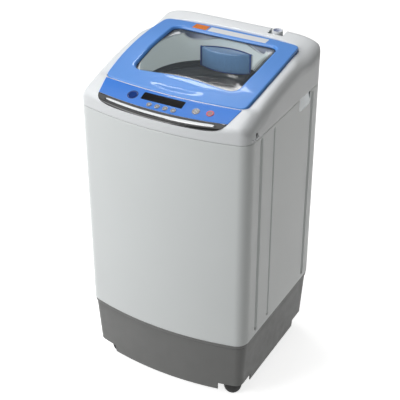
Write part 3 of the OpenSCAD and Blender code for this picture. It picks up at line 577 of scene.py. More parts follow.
def make_cabinet():
    cols = wrap_columns()
    zs = [180.0, 180.4, 181.2, 184, 190]
    zs += [191 + 1.4 * i for i in range(7)] + [202, 260, 340, 420, 500, 580, 650, 677]
    zs += [690 + 1.4 * i for i in range(8)] + [702.5, 705.2, 706.2, 706.5]
    zs = sorted(set(zs))
    rows = []
    for z in zs:
        edge = 0.9 * (1 - smooth(180, 181.6, z)) + 0.6 * smooth(705.4, 706.5, z)
        row = []
        for x, y, nx, ny in cols:
            d = edge + (groove_depth(y, z) if abs(nx) == 1 else 0.0)
            row.append((x - nx * d, y - ny * d, z))
        rows.append(row)

    def skip(j, i):
        a, b = cols[i], cols[i + 1]
        ym = (a[1] + b[1]) / 2
        return abs(a[2]) == 1 and abs(b[2]) == 1 and GRIP_LO < ym < GRIP_HI and zs[j] >= 676.9
    o = piece("cabinet_shell", grid(rows, skip=skip), "cabinet", M_ENAMEL, ["cabinet_wrap"])
    solidify(o, 1.2)


def make_grips():
    """Scooped pockets under the cover: one swept, rounded scoop on each side."""
    for s, side in SIDES:
        rows = []
        prof = [(0.6, 0.6), (1.8, 0.2), (4.0, 0.8), (9.0, 6.0), (15.0, 14.5), (20.0, 22.0), (22.6, 26.0),
                (23.4, 29.2)]
        prof = rounded_profile(prof, 3.0, 3)
        n = 24
        for i in range(n + 1):
            t = i / n
            y = GRIP_LO + 0.6 + (GRIP_HI - GRIP_LO - 1.2) * t
            end = 1 - min(1.0, 10.0 * min(t, 1 - t)) ** 0.7
            rows.append([(s * (HALF_W - d * (1 - 0.75 * end)), y,
                          677 + min(29.4, z + 10.0 * end * (1 - z / 30)))
                         for d, z in prof])
        shape, replaced = grid(rows), ["hand_grips"] if s > 0 else []
        o = piece(f"grip_scoop_{side}", shape, "cabinet", M_GRIP, replaced, 50)
        solidify(o, 1.6, 1.0, 50)


def make_plinth():
    prof = [(5.5, 179.7), (2.6, 179.9), (1.6, 179.0), (1.5, 177.0), (1.5, 172.2), (2.0, 171.2),
            (3.4, 170.8), (5.2, 170.4),
            (5.6, 169.2), (4.6, 168.2), (4.3, 166.5)]
    prof += [(4.3 + 8.7 * (166.5 - z) / 136.5, z) for z in (150, 130, 110, 90, 70, 58, 50, 44, 38,
                                                            33)] + [(13.2, 31.0), (13.9, 30.0)]
    rows = [[(x, y, z) for x, y in body_points(inset, 4.0)] for inset, z in prof]

    def skip(j, i):
        if prof[j + 1][1] >= 49.9 or prof[j][1] > 50.1:
            return False
        a = rows[j][i]
        b = rows[j][(i + 1) % len(rows[j])]
        x, y = abs(a[0] + b[0]) / 2, (a[1] + b[1]) / 2
        return x > 144 and (y > 128 or y < -108)
    o = piece("plinth_skirt", grid(rows, close=True, skip=skip), "cabinet", M_PLINTH, ["base_plinth"])
    solidify(o, 3.0)
    for sx in (-1, 1):
        for y0, y1 in ((-166.0, -92.0), (94.0, 172.0)):
            pts = rrect(sx * 158, (y0 + y1) / 2, 62, y1 - y0, 22)
            pl = link(f"foot_plate_{'r' if sx > 0 else 'l'}{'f' if y0 < 0 else 'b'}",
                      prism("foot_plate", pts, 50.2, 58.6),
                      "cabinet", M_PLINTH)
            cut(pl, [cutter(rod(sx * 160, -127 if y0 < 0 else 127, 45, (0, 0, 1), 4.4, 20))])
            bevel(pl, 1.2)


def make_feet():
    prof = [(0.0, 0.0), (12.5, 0.0), (15.0, 0.8), (18.6, 5.6), (20.2, 9.0), (21.3, 13.0), (22.3, 20.0),
            (22.5, 25.0),
            (22.4, 30.0), (21.2, 32.4), (19.0, 33.0), (9.0, 33.0), (8.0, 34.2), (4.0, 34.2), (4.0, 84.0),
            (0.0, 84.0)]
    prof = rounded_profile(prof, 1.2, 2)
    for node in ("foot_front_left", "foot_front_right", "foot_rear_left", "foot_rear_right"):
        lo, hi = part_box(node)
        cx, cy = (lo[0] + hi[0]) * 500, (lo[1] + hi[1]) * 500

        def flutes(r, z, a):
            return -0.7 * max(0.0, cos(24 * a)) ** 3 if r > 21.8 and 18 < z < 31 else 0.0
        me = lathe(node + "_pad", prof, cx, cy, 144, wob=flutes)
        link(node + "_pad", me, node + "_leg", M_BLACKRUB, [node])


# ---- top cover
def hermite(pts, x):
    """Smooth monotone curve through (x, y) pairs."""
    if x <= pts[0][0]:
        return pts[0][1]
    if x >= pts[-1][0]:
        return pts[-1][1]
    n = len(pts)
    d = [(pts[i + 1][1] - pts[i][1]) / (pts[i + 1][0] - pts[i][0]) for i in range(n - 1)]
    m = [d[0]] + [0.0 if d[i - 1] * d[i] <= 0 else 2 * d[i - 1] * d[i] / (d[i - 1] + d[i]) for i in range(1,
            n - 1)] + [d[-1]]
    for i in range(n - 1):
        if x <= pts[i + 1][0]:
            h = pts[i + 1][0] - pts[i][0]
            t = (x - pts[i][0]) / h
            return ((2 * t ** 3 - 3 * t * t + 1) * pts[i][1] + (t ** 3 - 2 * t * t + t) * h * m[i]
                    + (3 * t * t - 2 * t ** 3) * pts[i + 1][1] + (t ** 3 - t * t) * h * m[i + 1])


REAR_DECK = [(96, 792.6), (112, 795.0), (124, 797.2), (136, 800.2), (150, 803.6), (166, 806.8), (182, 809.6),
             (190, 810.5), (196, 809.4), (200, 805.8), (201.4, 802.4), (202, 799.0)]
SIDE_DROP = [(170, 0.0), (178, 0.5), (185, 2.2), (192, 5.6), (198, 10.2), (203, 15.8), (207, 22.4),
             (209.3, 29.0), (210, 35.0)]
REAR_DROP = [(105, 0.0), (137, 1.6), (160, 4.6), (175, 7.8), (186, 11.4), (194, 15.6), (201, 21.5),
             (206, 28.5), (209, 36.5),
             (210, 43.0)]
TRIM_LOW = [(0, 730.6), (92, 730.6), (112, 731.0), (131, 733.0), (141, 735.6), (149, 739.4), (155, 743.6),
            (160, 748.5),
            (163, 752.0)]


def smin(a, b, k):
    h = max(k - abs(a - b), 0.0) / k
    return min(a, b) - h * h * k * 0.25


def deck(x, y):
    """Height of the cover's skin over a point of the plan."""
    ax = abs(x)
    if y > 96:
        flat = hermite(REAR_DECK, y)
    else:
        flat = arc(y) - 0.45 - 6.05 * smooth(-127, -103, y)
    w = smooth(60, 150, y)
    side = (arc(y) + 1.2 - hermite(SIDE_DROP, ax)) * (1 - w) + (hermite(REAR_DECK,
            max(y, 96)) + 0.8 - hermite(REAR_DROP, ax)) * w
    z = smin(flat, side, 5.0)
    d = max(0.0, -f_body(x, y))
    if y < -60:
        r = 9.0
        if d < r:
            z -= (r - sqrt(r * r - (r - d) ** 2)) * (1 - smooth(-110, -60, y))
    return z


def floor_z(x, y):
    z = arc(y) - LID_DEPTH
    if abs(y - HINGE_Y) < 23.6:
        z = min(z, HINGE_Z - sqrt(23.6 ** 2 - (y - HINGE_Y) ** 2))
    return z


RAYS = 600
TAIL = [24, 20, 16.5, 13.5, 11, 9, 7.2, 5.6, 4.2, 3.0, 2.0, 1.2, 0.6, 0.2, 0.0]


def make_cover():
    cols = []
    for i in range(RAYS):
        a = 2 * pi * (i + 0.5) / RAYS
        ca, sa = cos(a), sin(a)
        r_lid = reach(f_lid, a, level=1.2 + 1.2 * smooth(0.3, 0.75, sa))
        r_body = reach(f_body, a)
        r_in = min(HOLE_R, r_lid - 0.05)
        pts = []

        def add(r, height):
            x, y = r * ca, TUB_Y + r * sa
            pts.append((x, y, height(x, y) if callable(height) else height))
        add(r_in, lambda x, y: floor_z(x, y) - 3.0)
        for k in range(7):
            add(r_in + (r_lid - r_in) * k / 6, floor_z)
        add(r_lid, lambda x, y: floor_z(x, y) + (deck(x, y) - floor_z(x, y)) * 0.5)
        add(r_lid, lambda x, y: deck(x, y) - 0.9)
        add(r_lid + 0.3, lambda x, y: deck(x, y) - 0.25)
        add(r_lid + 1.0, deck)
        far = r_body - r_lid - 1.0
        head = max(0.5, far - 24)
        for k in range(1, 9):
            add(r_lid + 1.0 + head * k / 9, deck)
        for t in TAIL:
            add(r_body - min(t, far * t / 24.5 if far < 24 else t), deck)
        x, y = r_body * ca, TUB_Y + r_body * sa
        zt = deck(x, y)
        front = y < -100 and abs(x) < 160
        zb = hermite(TRIM_LOW, abs(x)) if front else 0
        if front and zb < zt - 0.5:
            zb = min(zb, zt - 0.6)
            add(r_body - 1.6, (zb + 0.1 + zt) / 2)
            add(r_body - 1.6, zb)
            add(r_body, zb - 0.05)
            z0 = zb - 0.6
        else:
            for k in (0.1, 0.2, 0.3):
                add(r_body, zt - (zt - 716) * k)
            z0 = zt - (zt - 716) * 0.35
        for k in (0.0, 0.35, 0.7):
            add(r_body, z0 + (709.5 - z0) * k)
        for back, z in ((0.0, 708.6), (0.15, 707.6), (0.7, 707.05), (2.4, 707.0)):
            add(r_body - back, z)
        cols.append(pts)
    rows = turned(cols)
    o = piece("cover_shell", grid(rows, close=True), "cabinet", M_COVER, ["top_cover"], angle=40, weld=0.01)
    notch(o.data, [((80, 0, 0), (-1, 0, 0)), ((118.5, 0, 0), (1, 0, 0)), ((0, 168.5, 0), (0, -1, 0)),
                   ((0, 0, 784), (0, 0, -1))])
    for s in (-1, 1):
        around = [(cos(2 * pi * k / 20), sin(2 * pi * k / 20)) for k in range(20)]
        notch(o.data, [((0, -138 + 4.4 * c, 720 + 4.4 * n), (0, c, n)) for c,
                       n in around] + [((s * 190, 0, 0), (-s, 0, 0))])
    solidify(o, 2.4, angle=40, even=False)
    # pocket under the inlet
    pocket = prism("inlet_pocket", rrect(99.25, 185.2, 38.3, 33.2, 3), 783.5, 786.0)
    p = link("inlet_pocket_floor", pocket, "cabinet", M_COVER)
    cut(p, [cutter(rod(98, 185, 780, (0, 0, 1), 15.8, 20))])
    plan = ((118.4, 201.0), (118.4, 168.6), (80.1, 168.6), (80.1, 201.0))
    w = piece("inlet_pocket_wall", grid([[(x, y, z) for x, y in plan] for z in (784.0, 798.5)]), "cabinet",
              M_COVER)
    solidify(w, 1.4, 1.0)
    for s, side in SIDES:
        me = lathe_axis("screw_cup", [(4.55, 0.0), (4.55, -3.6), (3.0, -4.0), (2.0, -4.0)],
                        (s * 209.8, -138, 720), (s, 0, 0), 32)
        link(f"screw_cup_{side}", me, "cabinet", M_BLACK)


def lathe_axis(name, prof, origin, axis, n=48, angle=35.0):
    axis = Vector(axis).normalized()
    u = axis.orthogonal().normalized()
    w = axis.cross(u)
    rows = []
    for r, t in prof:
        rows.append([tuple(Vector(origin) + axis * t
                           + (u * cos(2 * pi * i / n) + w * sin(2 * pi * i / n)) * r) for i in range(n)])
    v, f = grid(rows, close=True)
    return mesh(name, v, f, angle)


# ---- throat, rings and basket
def make_throat():
    n = 240
    rows = []
    top = []
    for i in range(n):
        a = 2 * pi * i / n
        x, y = THROAT_R * cos(a), TUB_Y + THROAT_R * sin(a)
        z = arc(y) - 14.2
        if abs(y - HINGE_Y) < 26.6:
            z = min(z, HINGE_Z - sqrt(26.6 ** 2 - (y - HINGE_Y) ** 2) - 0.3)
        top.append(z)
    for t in [0.0, 0.006, 0.03, 0.2, 0.4, 0.6, 0.8, 0.97, 1.0]:
        row = []
        for i in range(n):
            a = 2 * pi * i / n
            r = THROAT_R + (0.5 if t == 0.0 else 0.12 if t == 0.006 else 0.0)
            row.append((r * cos(a), TUB_Y + r * sin(a), 718 + (top[i] - 718) * t))
        rows.append(row)
    o = piece("throat_liner", grid(rows, close=True), "cabinet", M_LINER, ["opening_liner"])
    solidify(o, 1.2, 1.0)


def make_rings():
    tt = 701.0
    prof = [(178.3, tt - 14), (181, tt - 14), (181, tt + 4), (153, tt + 4), (152, tt + 19),
            (149.5, tt + 19), (149, tt + 5),
            (145, tt + 4), (145, tt + 2), (155, tt + 1.5), (178.3, tt + 1)]
    link("tub_rim", lathe("tub_rim", rounded_profile(prof + prof[:1], 0.8, 3)[:-1], 0, TUB_Y, 192,
                          close=True),
             "tub", M_BLACK, ["tub_cover"])
    rt = 700.0
    prof = [(155.7, rt - 40), (135, rt - 38), (131.6, rt - 34), (131, rt - 30), (131, rt - 21),
            (132.4, rt - 15), (136.0, rt - 8),
            (139.6, rt - 3.2), (143.5, rt - 0.6), (146, rt), (154, rt), (156.6, rt - 1.2), (157, rt - 3),
            (157, rt - 23.7),
            (155.7, rt - 23.7)]
    link("balance_ring_shell", lathe("balance_ring_shell", rounded_profile(prof + prof[:1], 1.4, 4)[:-1], 0,
                                     TUB_Y, 192,
             close=True), "basket", M_RING, ["balance_ring"])


def make_springs():
    turns, n, sides, r, w = 8, 8 * 28, 10, 9.5, 1.6
    z0, z1 = 372 + w, 452 - w
    for k, (x, y) in enumerate(((-176, -136), (176, -136), (-176, 166), (176, 166))):
        rows = []
        for i in range(n + 1):
            t = i / n
            a = 2 * pi * turns * t
            wire = [(r + u, h) for u, h, _ in circle(w, 0, sides)]
            rows.append([(x + u * cos(a), y + u * sin(a), z0 + (z1 - z0) * t + h) for u, h in wire])
        shape = capped(grid(rows, close=True), sides)
        o = piece(f"spring_{k}", shape, "cabinet", M_SPRING, [] if k else ["suspension_springs"], angle=60)
        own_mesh(o)


def make_hinge_pins():
    for s, side in SIDES:
        pin = rod(s * 160, HINGE_Y, HINGE_Z, (s, 0, 0), 2.2, 13.5)
        link(f"hinge_pin_{side}", pin, "lid", M_SHAFT, ["lid_hinge_pins"] if s > 0 else [])


def make_bellows():
    z0, h, n = 202.0, BELLOWS_TOP - 202.0, 10
    prof = [(10.2, z0), (14.0, z0)]
    for i in range(n):
        prof += [(17.0, z0 + h * (i + 0.5) / n), (14.0, z0 + h * (i + 1) / n)]
    prof += [(10.2, z0 + h)]
    o = link("drain_sleeve", lathe("drain_sleeve", rounded_profile(prof + prof[:1], 0.5, 2)[:-1], DRAIN_X,
                                   DRAIN_Y, 72, close=True),
             "cabinet", M_GREYRUB, ["drain_bellows"])
    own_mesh(o)


# ---- lid
DISH = (-4.0, -103.5, 82.0, 17.5, 2.3)


def lid_top(x, y):
    cx, cy, a, b, depth = DISH
    q = ((x - cx) / a) ** 2 + ((y - cy) / b) ** 2
    return arc(y) - (depth * (1 - q) ** 2 if q < 1 else 0.0)


def make_lid():
    cols = []
    for i in range(RAYS):
        a = 2 * pi * (i + 0.5) / RAYS
        ca, sa = cos(a), sin(a)
        rw, rl = reach(f_window, a), reach(f_lid, a)
        P = lambda r: (r * ca, TUB_Y + r * sa)
        pts = []
        for back, dep in ((-3.9, 8.2), (-3.8, 6.4), (-3.4, 4.8), (-2.6, 3.2), (-1.8, 2.1), (-1.0, 1.3),
                          (-0.2, 0.7), (0.7, 0.28),
                          (1.9, 0.06)):
            x, y = P(rw + back)
            pts.append((x, y, arc(y) - dep))
        for k in range(1, 12):
            x, y = P(rw + 1.9 + (rl - 2.6 - rw - 1.9) * k / 12)
            pts.append((x, y, lid_top(x, y)))
        for back, dep in ((2.6, 0.0), (1.7, 0.12), (0.9, 0.5), (0.35, 1.2), (0.05, 2.2), (0.0, 3.6),
                          (0.0, 8.6), (0.35, 8.95)):
            x, y = P(rl - back)
            pts.append((x, y, arc(y) - dep))
        cols.append(pts)
    rows = turned(cols)
    o = piece("lid_shell", grid(rows, close=True), "lid", M_LID, ["lid_frame"], angle=50)
    solidify(o, 2.2, angle=50)


def fan(f_edge, grow, height, rings):
    """A filled sheet inside an outline: rings about the middle, finer near the edge."""
    verts, faces = [], []
    n = RAYS
    cols = []
    for i in range(n):
        a = 2 * pi * (i + 0.5) / n
        r = reach(f_edge, a) + grow
        col = []
        for k in range(1, rings + 1):
            t = 1 - (1 - k / rings) ** 1.6
            x, y = r * t * cos(a), TUB_Y + r * t * sin(a)
            col.append((x, y, height(x, y)))
        cols.append(col)
    verts.append((0, TUB_Y, height(0, TUB_Y)))
    for c in cols:
        verts += c
    for i in range(n):
        j = (i + 1) % n
        faces.append((0, 1 + i * rings, 1 + j * rings))
        for k in range(rings - 1):
            faces.append((1 + i * rings + k, 1 + i * rings + k + 1, 1 + j * rings + k + 1,
                          1 + j * rings + k))
    return verts, faces


def make_window():
    v, f = fan(f_window, -3.4, lambda x, y: arc(y) - 6.3, 26)
    me = mesh("window_pane", v, f)
    at = me.attributes.new("edge_mm", "FLOAT", "POINT")
    for i, p in enumerate(me.vertices):
        x, y = p.co.x / MM, p.co.y / MM
        d = -f_window(x, y) - 3.4
        wide = 8.5
        right = smooth(60, 120, x) * (1 - smooth(60, 100, y))
        wide += 9.0 * right
        left = smooth(-90, -125, x) * (1 - smooth(70, 110, y))
        wide -= 5.5 * left
        at.data[i].value = d / max(2.0, wide)
    m = bpy.data.materials.new("window_clear")
    m.use_nodes = True
    N, L = m.node_tree.nodes, m.node_tree.links
    b = N["Principled BSDF"]
    put(b, Roughness=0.04, IOR=1.45)
    tc = N.new("ShaderNodeTexCoord")
    sep = N.new("ShaderNodeSeparateXYZ")
    L.new(tc.outputs["Object"], sep.inputs[0])
    pitch = 3.6 * MM
    u = math_node(N, L, "ADD", sep.outputs["X"], sep.outputs["Y"])
    w = math_node(N, L, "SUBTRACT", sep.outputs["X"], sep.outputs["Y"])
    cu = math_node(N, L, "COSINE", math_node(N, L, "MULTIPLY", u, 2 * pi / (pitch * 1.414)))
    cw = math_node(N, L, "COSINE", math_node(N, L, "MULTIPLY", w, 2 * pi / (pitch * 1.414)))
    dots = math_node(N, L, "MULTIPLY_ADD", math_node(N, L, "ADD", cu, cw), 0.25, 0.5)
    att = N.new("ShaderNodeAttribute")
    att.attribute_name = "edge_mm"
    size = math_node(N, L, "SUBTRACT", dots, math_node(N, L, "MULTIPLY_ADD", att.outputs["Fac"], 0.66, 0.16))
    mask = math_node(N, L, "MULTIPLY", size, 14.0, clamp=True)
    ramp = N.new("ShaderNodeMapRange")
    put(ramp, To_Min=0.03, To_Max=1.0)
    L.new(mask, ramp.inputs["Value"])
    L.new(ramp.outputs["Result"], b.inputs["Alpha"])
    mix = N.new("ShaderNodeMix")
    mix.data_type = "RGBA"
    put(mix, A=(0.75, 0.86, 0.95, 1), B=(0.006, 0.006, 0.008, 1))
    L.new(mask, mix.inputs["Factor"])
    L.new(mix.outputs["Result"], b.inputs["Base Color"])
    o = link("window_pane", me, "lid", m, ["lid_window"])
    solidify(o, 1.6, -1.0)


def make_labels():
    for name, x0, x1, y0, y1, m, node in (("label_orange_sheet", -92, -56, 124.5, 147.5, M_ORANGE,
                                           "lid_label_orange"),
                                          ("label_white_sheet", -51, 97, 123.5, 145.5, M_LABEL,
                                           "lid_label_white")):
        rows = [[(x, y, arc(y) + 0.25) for x in span(x0, x1, 24)] for y in span(y0, y1, 8)]
        o = piece(name, grid(rows), "lid", m, [node])
        solidify(o, 0.25)


# ---- control panel
SMALL = [(-30.0 + 19.6 * k, -170.7) for k in range(4)]
DISPLAY = (-7.5, -150.5)
START, POWER, PROGRAM = (76.4, -158.0), (108.4, -154.5), (-80.0, -155.5)


def panel_edge(x, front):
    if front:
        r = bow(PANEL_HW, PANEL_BOW)
        return PANEL_FRONT - PANEL_BOW + r - sqrt(r * r - x * x)
    r = bow(LID_FRONT_HW, LID_FRONT_BOW)
    return LID_FRONT - PANEL_GAP - LID_FRONT_BOW + r - sqrt(r * r - x * x)


def make_panel():
    def sheet_rows(grow, dep):
        rows = []
        for j in range(15):
            t = j / 14
            row = []
            for i in range(141):
                s = -1 + 2 * i / 140
                x = s * (PANEL_HW + (PANEL_REAR_HW - PANEL_HW) * t + grow)
                yf = panel_edge(max(-PANEL_HW, min(PANEL_HW, x)), True) - grow
                yr = panel_edge(min(PANEL_REAR_HW, abs(x)), False) + grow
                y = yf + (yr - yf) * t
                row.append((x, y, arc(y) - dep))
            rows.append(row)
        return rows
    top = sheet_rows(-0.5, 0.0)
    o = piece("panel_overlay", grid(top), "cabinet", M_PANEL, ["control_panel"])
    solidify(o, 2.4)
    cuts = []
    for (x, y), r in [(p, 5.8) for p in SMALL] + [(START, 7.8), (POWER, 7.8), (PROGRAM, 9.6)]:
        a = tilt(y)
        n = (0, -sin(a), cos(a))
        cuts.append(cutter(rod(x, y + 8 * sin(a), arc(y) - 8 * cos(a), n, r + 0.4, 16, 56)))
    pts = rrect(0, 0, 101.6, 21.6, 2.3)
    low, high = ([on_arc(*DISPLAY, u, w, h) for u, w in pts] for h in (-6, 6))
    cuts.append(cutter(mesh("display_hole", *between(low, high))))
    cut(o, cuts)
    bevel(o, 0.3, 50)
    resmooth(o)


def place(points, x, y):
    """Moves points given in the tangent plane at (x, y) onto the arc."""
    return [on_arc(x, y, u, w, h) for u, w, h in points]


def dial(name, prof, x, y, m, body, replaced, n=64):
    rows = [place(circle(r, h, n), x, y) for r, h in prof]
    return piece(name, capped(grid(rows, close=True), n), body, m, replaced, 40)


def mark(name, strokes, x, y, h, w, m, body):
    """A printed mark made of thin raised strokes."""
    verts, faces = [], []
    for st in strokes:
        for (u0, v0), (u1, v1) in zip(st, st[1:]):
            d = Vector((u1 - u0, v1 - v0))
            if d.length < 1e-6:
                continue
            d.normalize()
            p = Vector((-d.y, d.x)) * w / 2
            k = len(verts)
            a, b = Vector((u0, v0)) - d * w * 0.3, Vector((u1, v1)) + d * w * 0.3
            for hh in (h, h + 0.06):
                for q in (a - p, b - p, b + p, a + p):
                    verts.append(on_arc(x, y, q.x, q.y, hh))
            faces += [(k, k + 1, k + 2, k + 3), (k + 4, k + 5, k + 6, k + 7)] + \
                [(k + i, k + (i + 1) % 4, k + 4 + (i + 1) % 4, k + 4 + i) for i in range(4)]
    return link(name, mesh(name, verts, faces), body, m, [])


def circle_pts(r, a0=0.0, a1=2 * pi, n=20, cx=0.0, cy=0.0):
    return [(cx + r * cos(a0 + (a1 - a0) * i / n),
             cy + r * sin(a0 + (a1 - a0) * i / n)) for i in range(n + 1)]


def make_keys():
    start = [[(-2.6, -2), (-2.6, 2), (0.2, 0), (-2.6, -2)], [(1.4, -2), (1.4, 2)], [(2.8, -2), (2.8, 2)]]
    power = [circle_pts(2.1, radians(120), radians(420), 20), [(0, 0.6), (0, 2.6)]]
    icons = [[circle_pts(1.9), [(-1.2, 0), (1.2, 0)]], [[(-2, 1), (0, -1.4), (2, 1)]],
             [[(-2, 0), (2, 0)], [(0, -1.6), (0, 1.6)]],
             [[(-2, -1.3), (-2, 1.3), (2, 1.3), (2, -1.3), (-2, -1.3)]]]
    low = [(5.0, -6.0), (7.0, -6.0), (7.0, -4.4), (5.8, -4.4), (5.8, 0.55), (5.3, 1.0), (4.6, 0.75),
           (0.4, 0.55)]
    wide = [(6.0, -6.0), (9.0, -6.0), (9.0, -4.4), (7.8, -4.4), (7.8, 0.6), (7.2, 1.15), (5.4, 0.9),
            (0.4, 0.65)]
    small, large = rounded_profile(low, 0.35, 2), rounded_profile(wide, 0.4, 2)
    keys = [(f"function_button_{k + 1}", at, small, "key_grey", (4.75, 5.75, 1.05), M_KEYRIM, icons[k],
             0.72, 0.55,
             M_PRINT) for k, at in enumerate(SMALL)]
    keys += [("start_button", START, large, "key_grey", (5.7, 7.6, 1.2), M_KEYRIM, start, 0.95, 0.7,
              M_PRINT),
             ("power_button", POWER, large, "key_red", (5.2, 7.6, 1.2), M_RED, power, 0.95, 0.7, M_RED)]
    for node, (x, y), prof, slot, rim, rim_look, strokes, h, w, ink in keys:
        body = node + "_key"
        dial(node + "_cap", prof, x, y, M_KEY, body, [node])
        ring(node + "_rim", *rim, x, y, rim_look, body)
        mark(node + "_icon", strokes, x, y, h, w, ink, body)
    x, y = PROGRAM
    prof = [(7.0, -6.0), (10.8, -6.0), (10.8, -4.4), (9.6, -4.4), (9.6, 0.7), (9.2, 1.2), (8.6, 1.22),
            (7.6, 0.8),
            (6.0, 0.3), (4.0, 0.0), (2.0, -0.15), (0.3, -0.2)]
    prof = rounded_profile(prof, 0.4, 2)
    dial("program_button_cap", prof, x, y, M_KEYNAVY, "program_button_key", ["program_button"])
    # printed collars round the three large keys
    ring("program_collar", 10.1, 12.6, 0.28, x, y, M_NAVY, "cabinet", low=-0.3)
    ring("start_collar", 8.3, 8.9, 0.22, *START, M_KEYRIM, "cabinet", low=-0.3)
    ring("power_collar", 8.3, 8.9, 0.22, *POWER, M_RED, "cabinet", low=-0.3)
    # display
    pts = rrect(0, 0, 101, 21, 2)
    prof = [(0.0, -2.3), (0.0, -0.15), (0.35, 0.1)]
    rows = [[on_arc(*DISPLAY, u * (1 - inset / 50), w * (1 - inset / 10.5), h) for u, w in pts] for inset,
            h in prof]
    shape = capped(grid(rows, close=True), len(pts))
    piece("display_lens", shape, "cabinet", M_DISPLAY, ["display_window"], angle=30)


def ring(name, r0, r1, h, x, y, m, body, low=None):
    low = h - 0.35 if low is None else low
    prof = rounded_profile([(r0, low), (r1, low), (r1, h - 0.08), ((r0 + r1) / 2, h), (r0, h - 0.1),
                            (r0, low)], 0.08, 1)
    n = 72
    rows = [place(circle(r, hh, n), x, y) for r, hh in prof[:-1]]
    rows.append(rows[0])
    return piece(name, grid(rows, close=True), body, m, [], angle=40, weld=0.01)


def make_trim():
    cols = []
    n = 220
    bow_y = FRONT + BOW_R
    for i in range(n + 1):
        s = -1 + 2 * i / n
        x = 157.2 * copysign(abs(s) ** 0.92, s)
        yr = panel_edge(abs(x), True) - 0.35
        yo = bow_y - sqrt(BOW_R ** 2 - x * x) + 0.05
        zb = hermite(TRIM_LOW, abs(x))
        top = lambda yy: arc(yy) - 0.02 - hermite([(0, 3.6), (0.7, 2.2), (2.5, 1.0), (5, 0.35), (9, 0.0)],
                                                  yy - yo)
        ye = yo
        while top(ye) < zb + 0.15 and ye < yr - 0.4:
            ye += 0.25
        pts = []
        pts.append((x, yr, arc(yr) - 2.2))
        pts.append((x, yr, arc(yr) - 0.35))
        m = 20
        for k in range(m + 1):
            t = k / m
            t = 1 - (1 - t) ** 1.7
            yy = yr - 0.4 + (ye - yr + 0.4) * t
            lip = 0.35 * (1 - smooth(0, 0.8, yr - yy - 0.4))
            pts.append((x, yy, max(top(yy) - lip - shelf(x, (yr - yy) / max(1.0, yr - yo)),
                                   min(zb, top(yy)))))
        zt = pts[-1][2]
        zl = min(zb, zt - 0.05)
        for k in (0.4, 0.8, 1.0):
            pts.append((x, ye, zt + (zl - zt) * k))
        pts.append((x, ye + 0.9, zl - 0.02))
        pts.append((x, ye + 1.5, zl + 0.02))
        cols.append(pts)
    rows = turned(cols)
    o = piece("trim_crescent", grid(rows), "cabinet", M_TRIM, ["panel_trim"], angle=60)
    solidify(o, 0.9, -1.0, 60)


def shelf(x, t):
    """Shallow hollow along the shelf."""
    w = 1 - smooth(120, 155, abs(x))
    return 1.4 * w * sin(pi * min(1.0, max(0.0, t / 0.86))) ** 2


# ---- dispenser
SWING = radians(4.7)
D_LOW, D_HIGH, D_HW = 706.0, 756.0, 64.0


def at_drawer(x, y, z):
    return (x * cos(SWING) - y * sin(SWING), TUB_Y + x * sin(SWING) + y * cos(SWING), z)


def drawer_front(x, back=0.0):
    r = bow(D_HW, 19.0)
    return 106.6 + r - sqrt(max(0.0, r * r - x * x)) + back


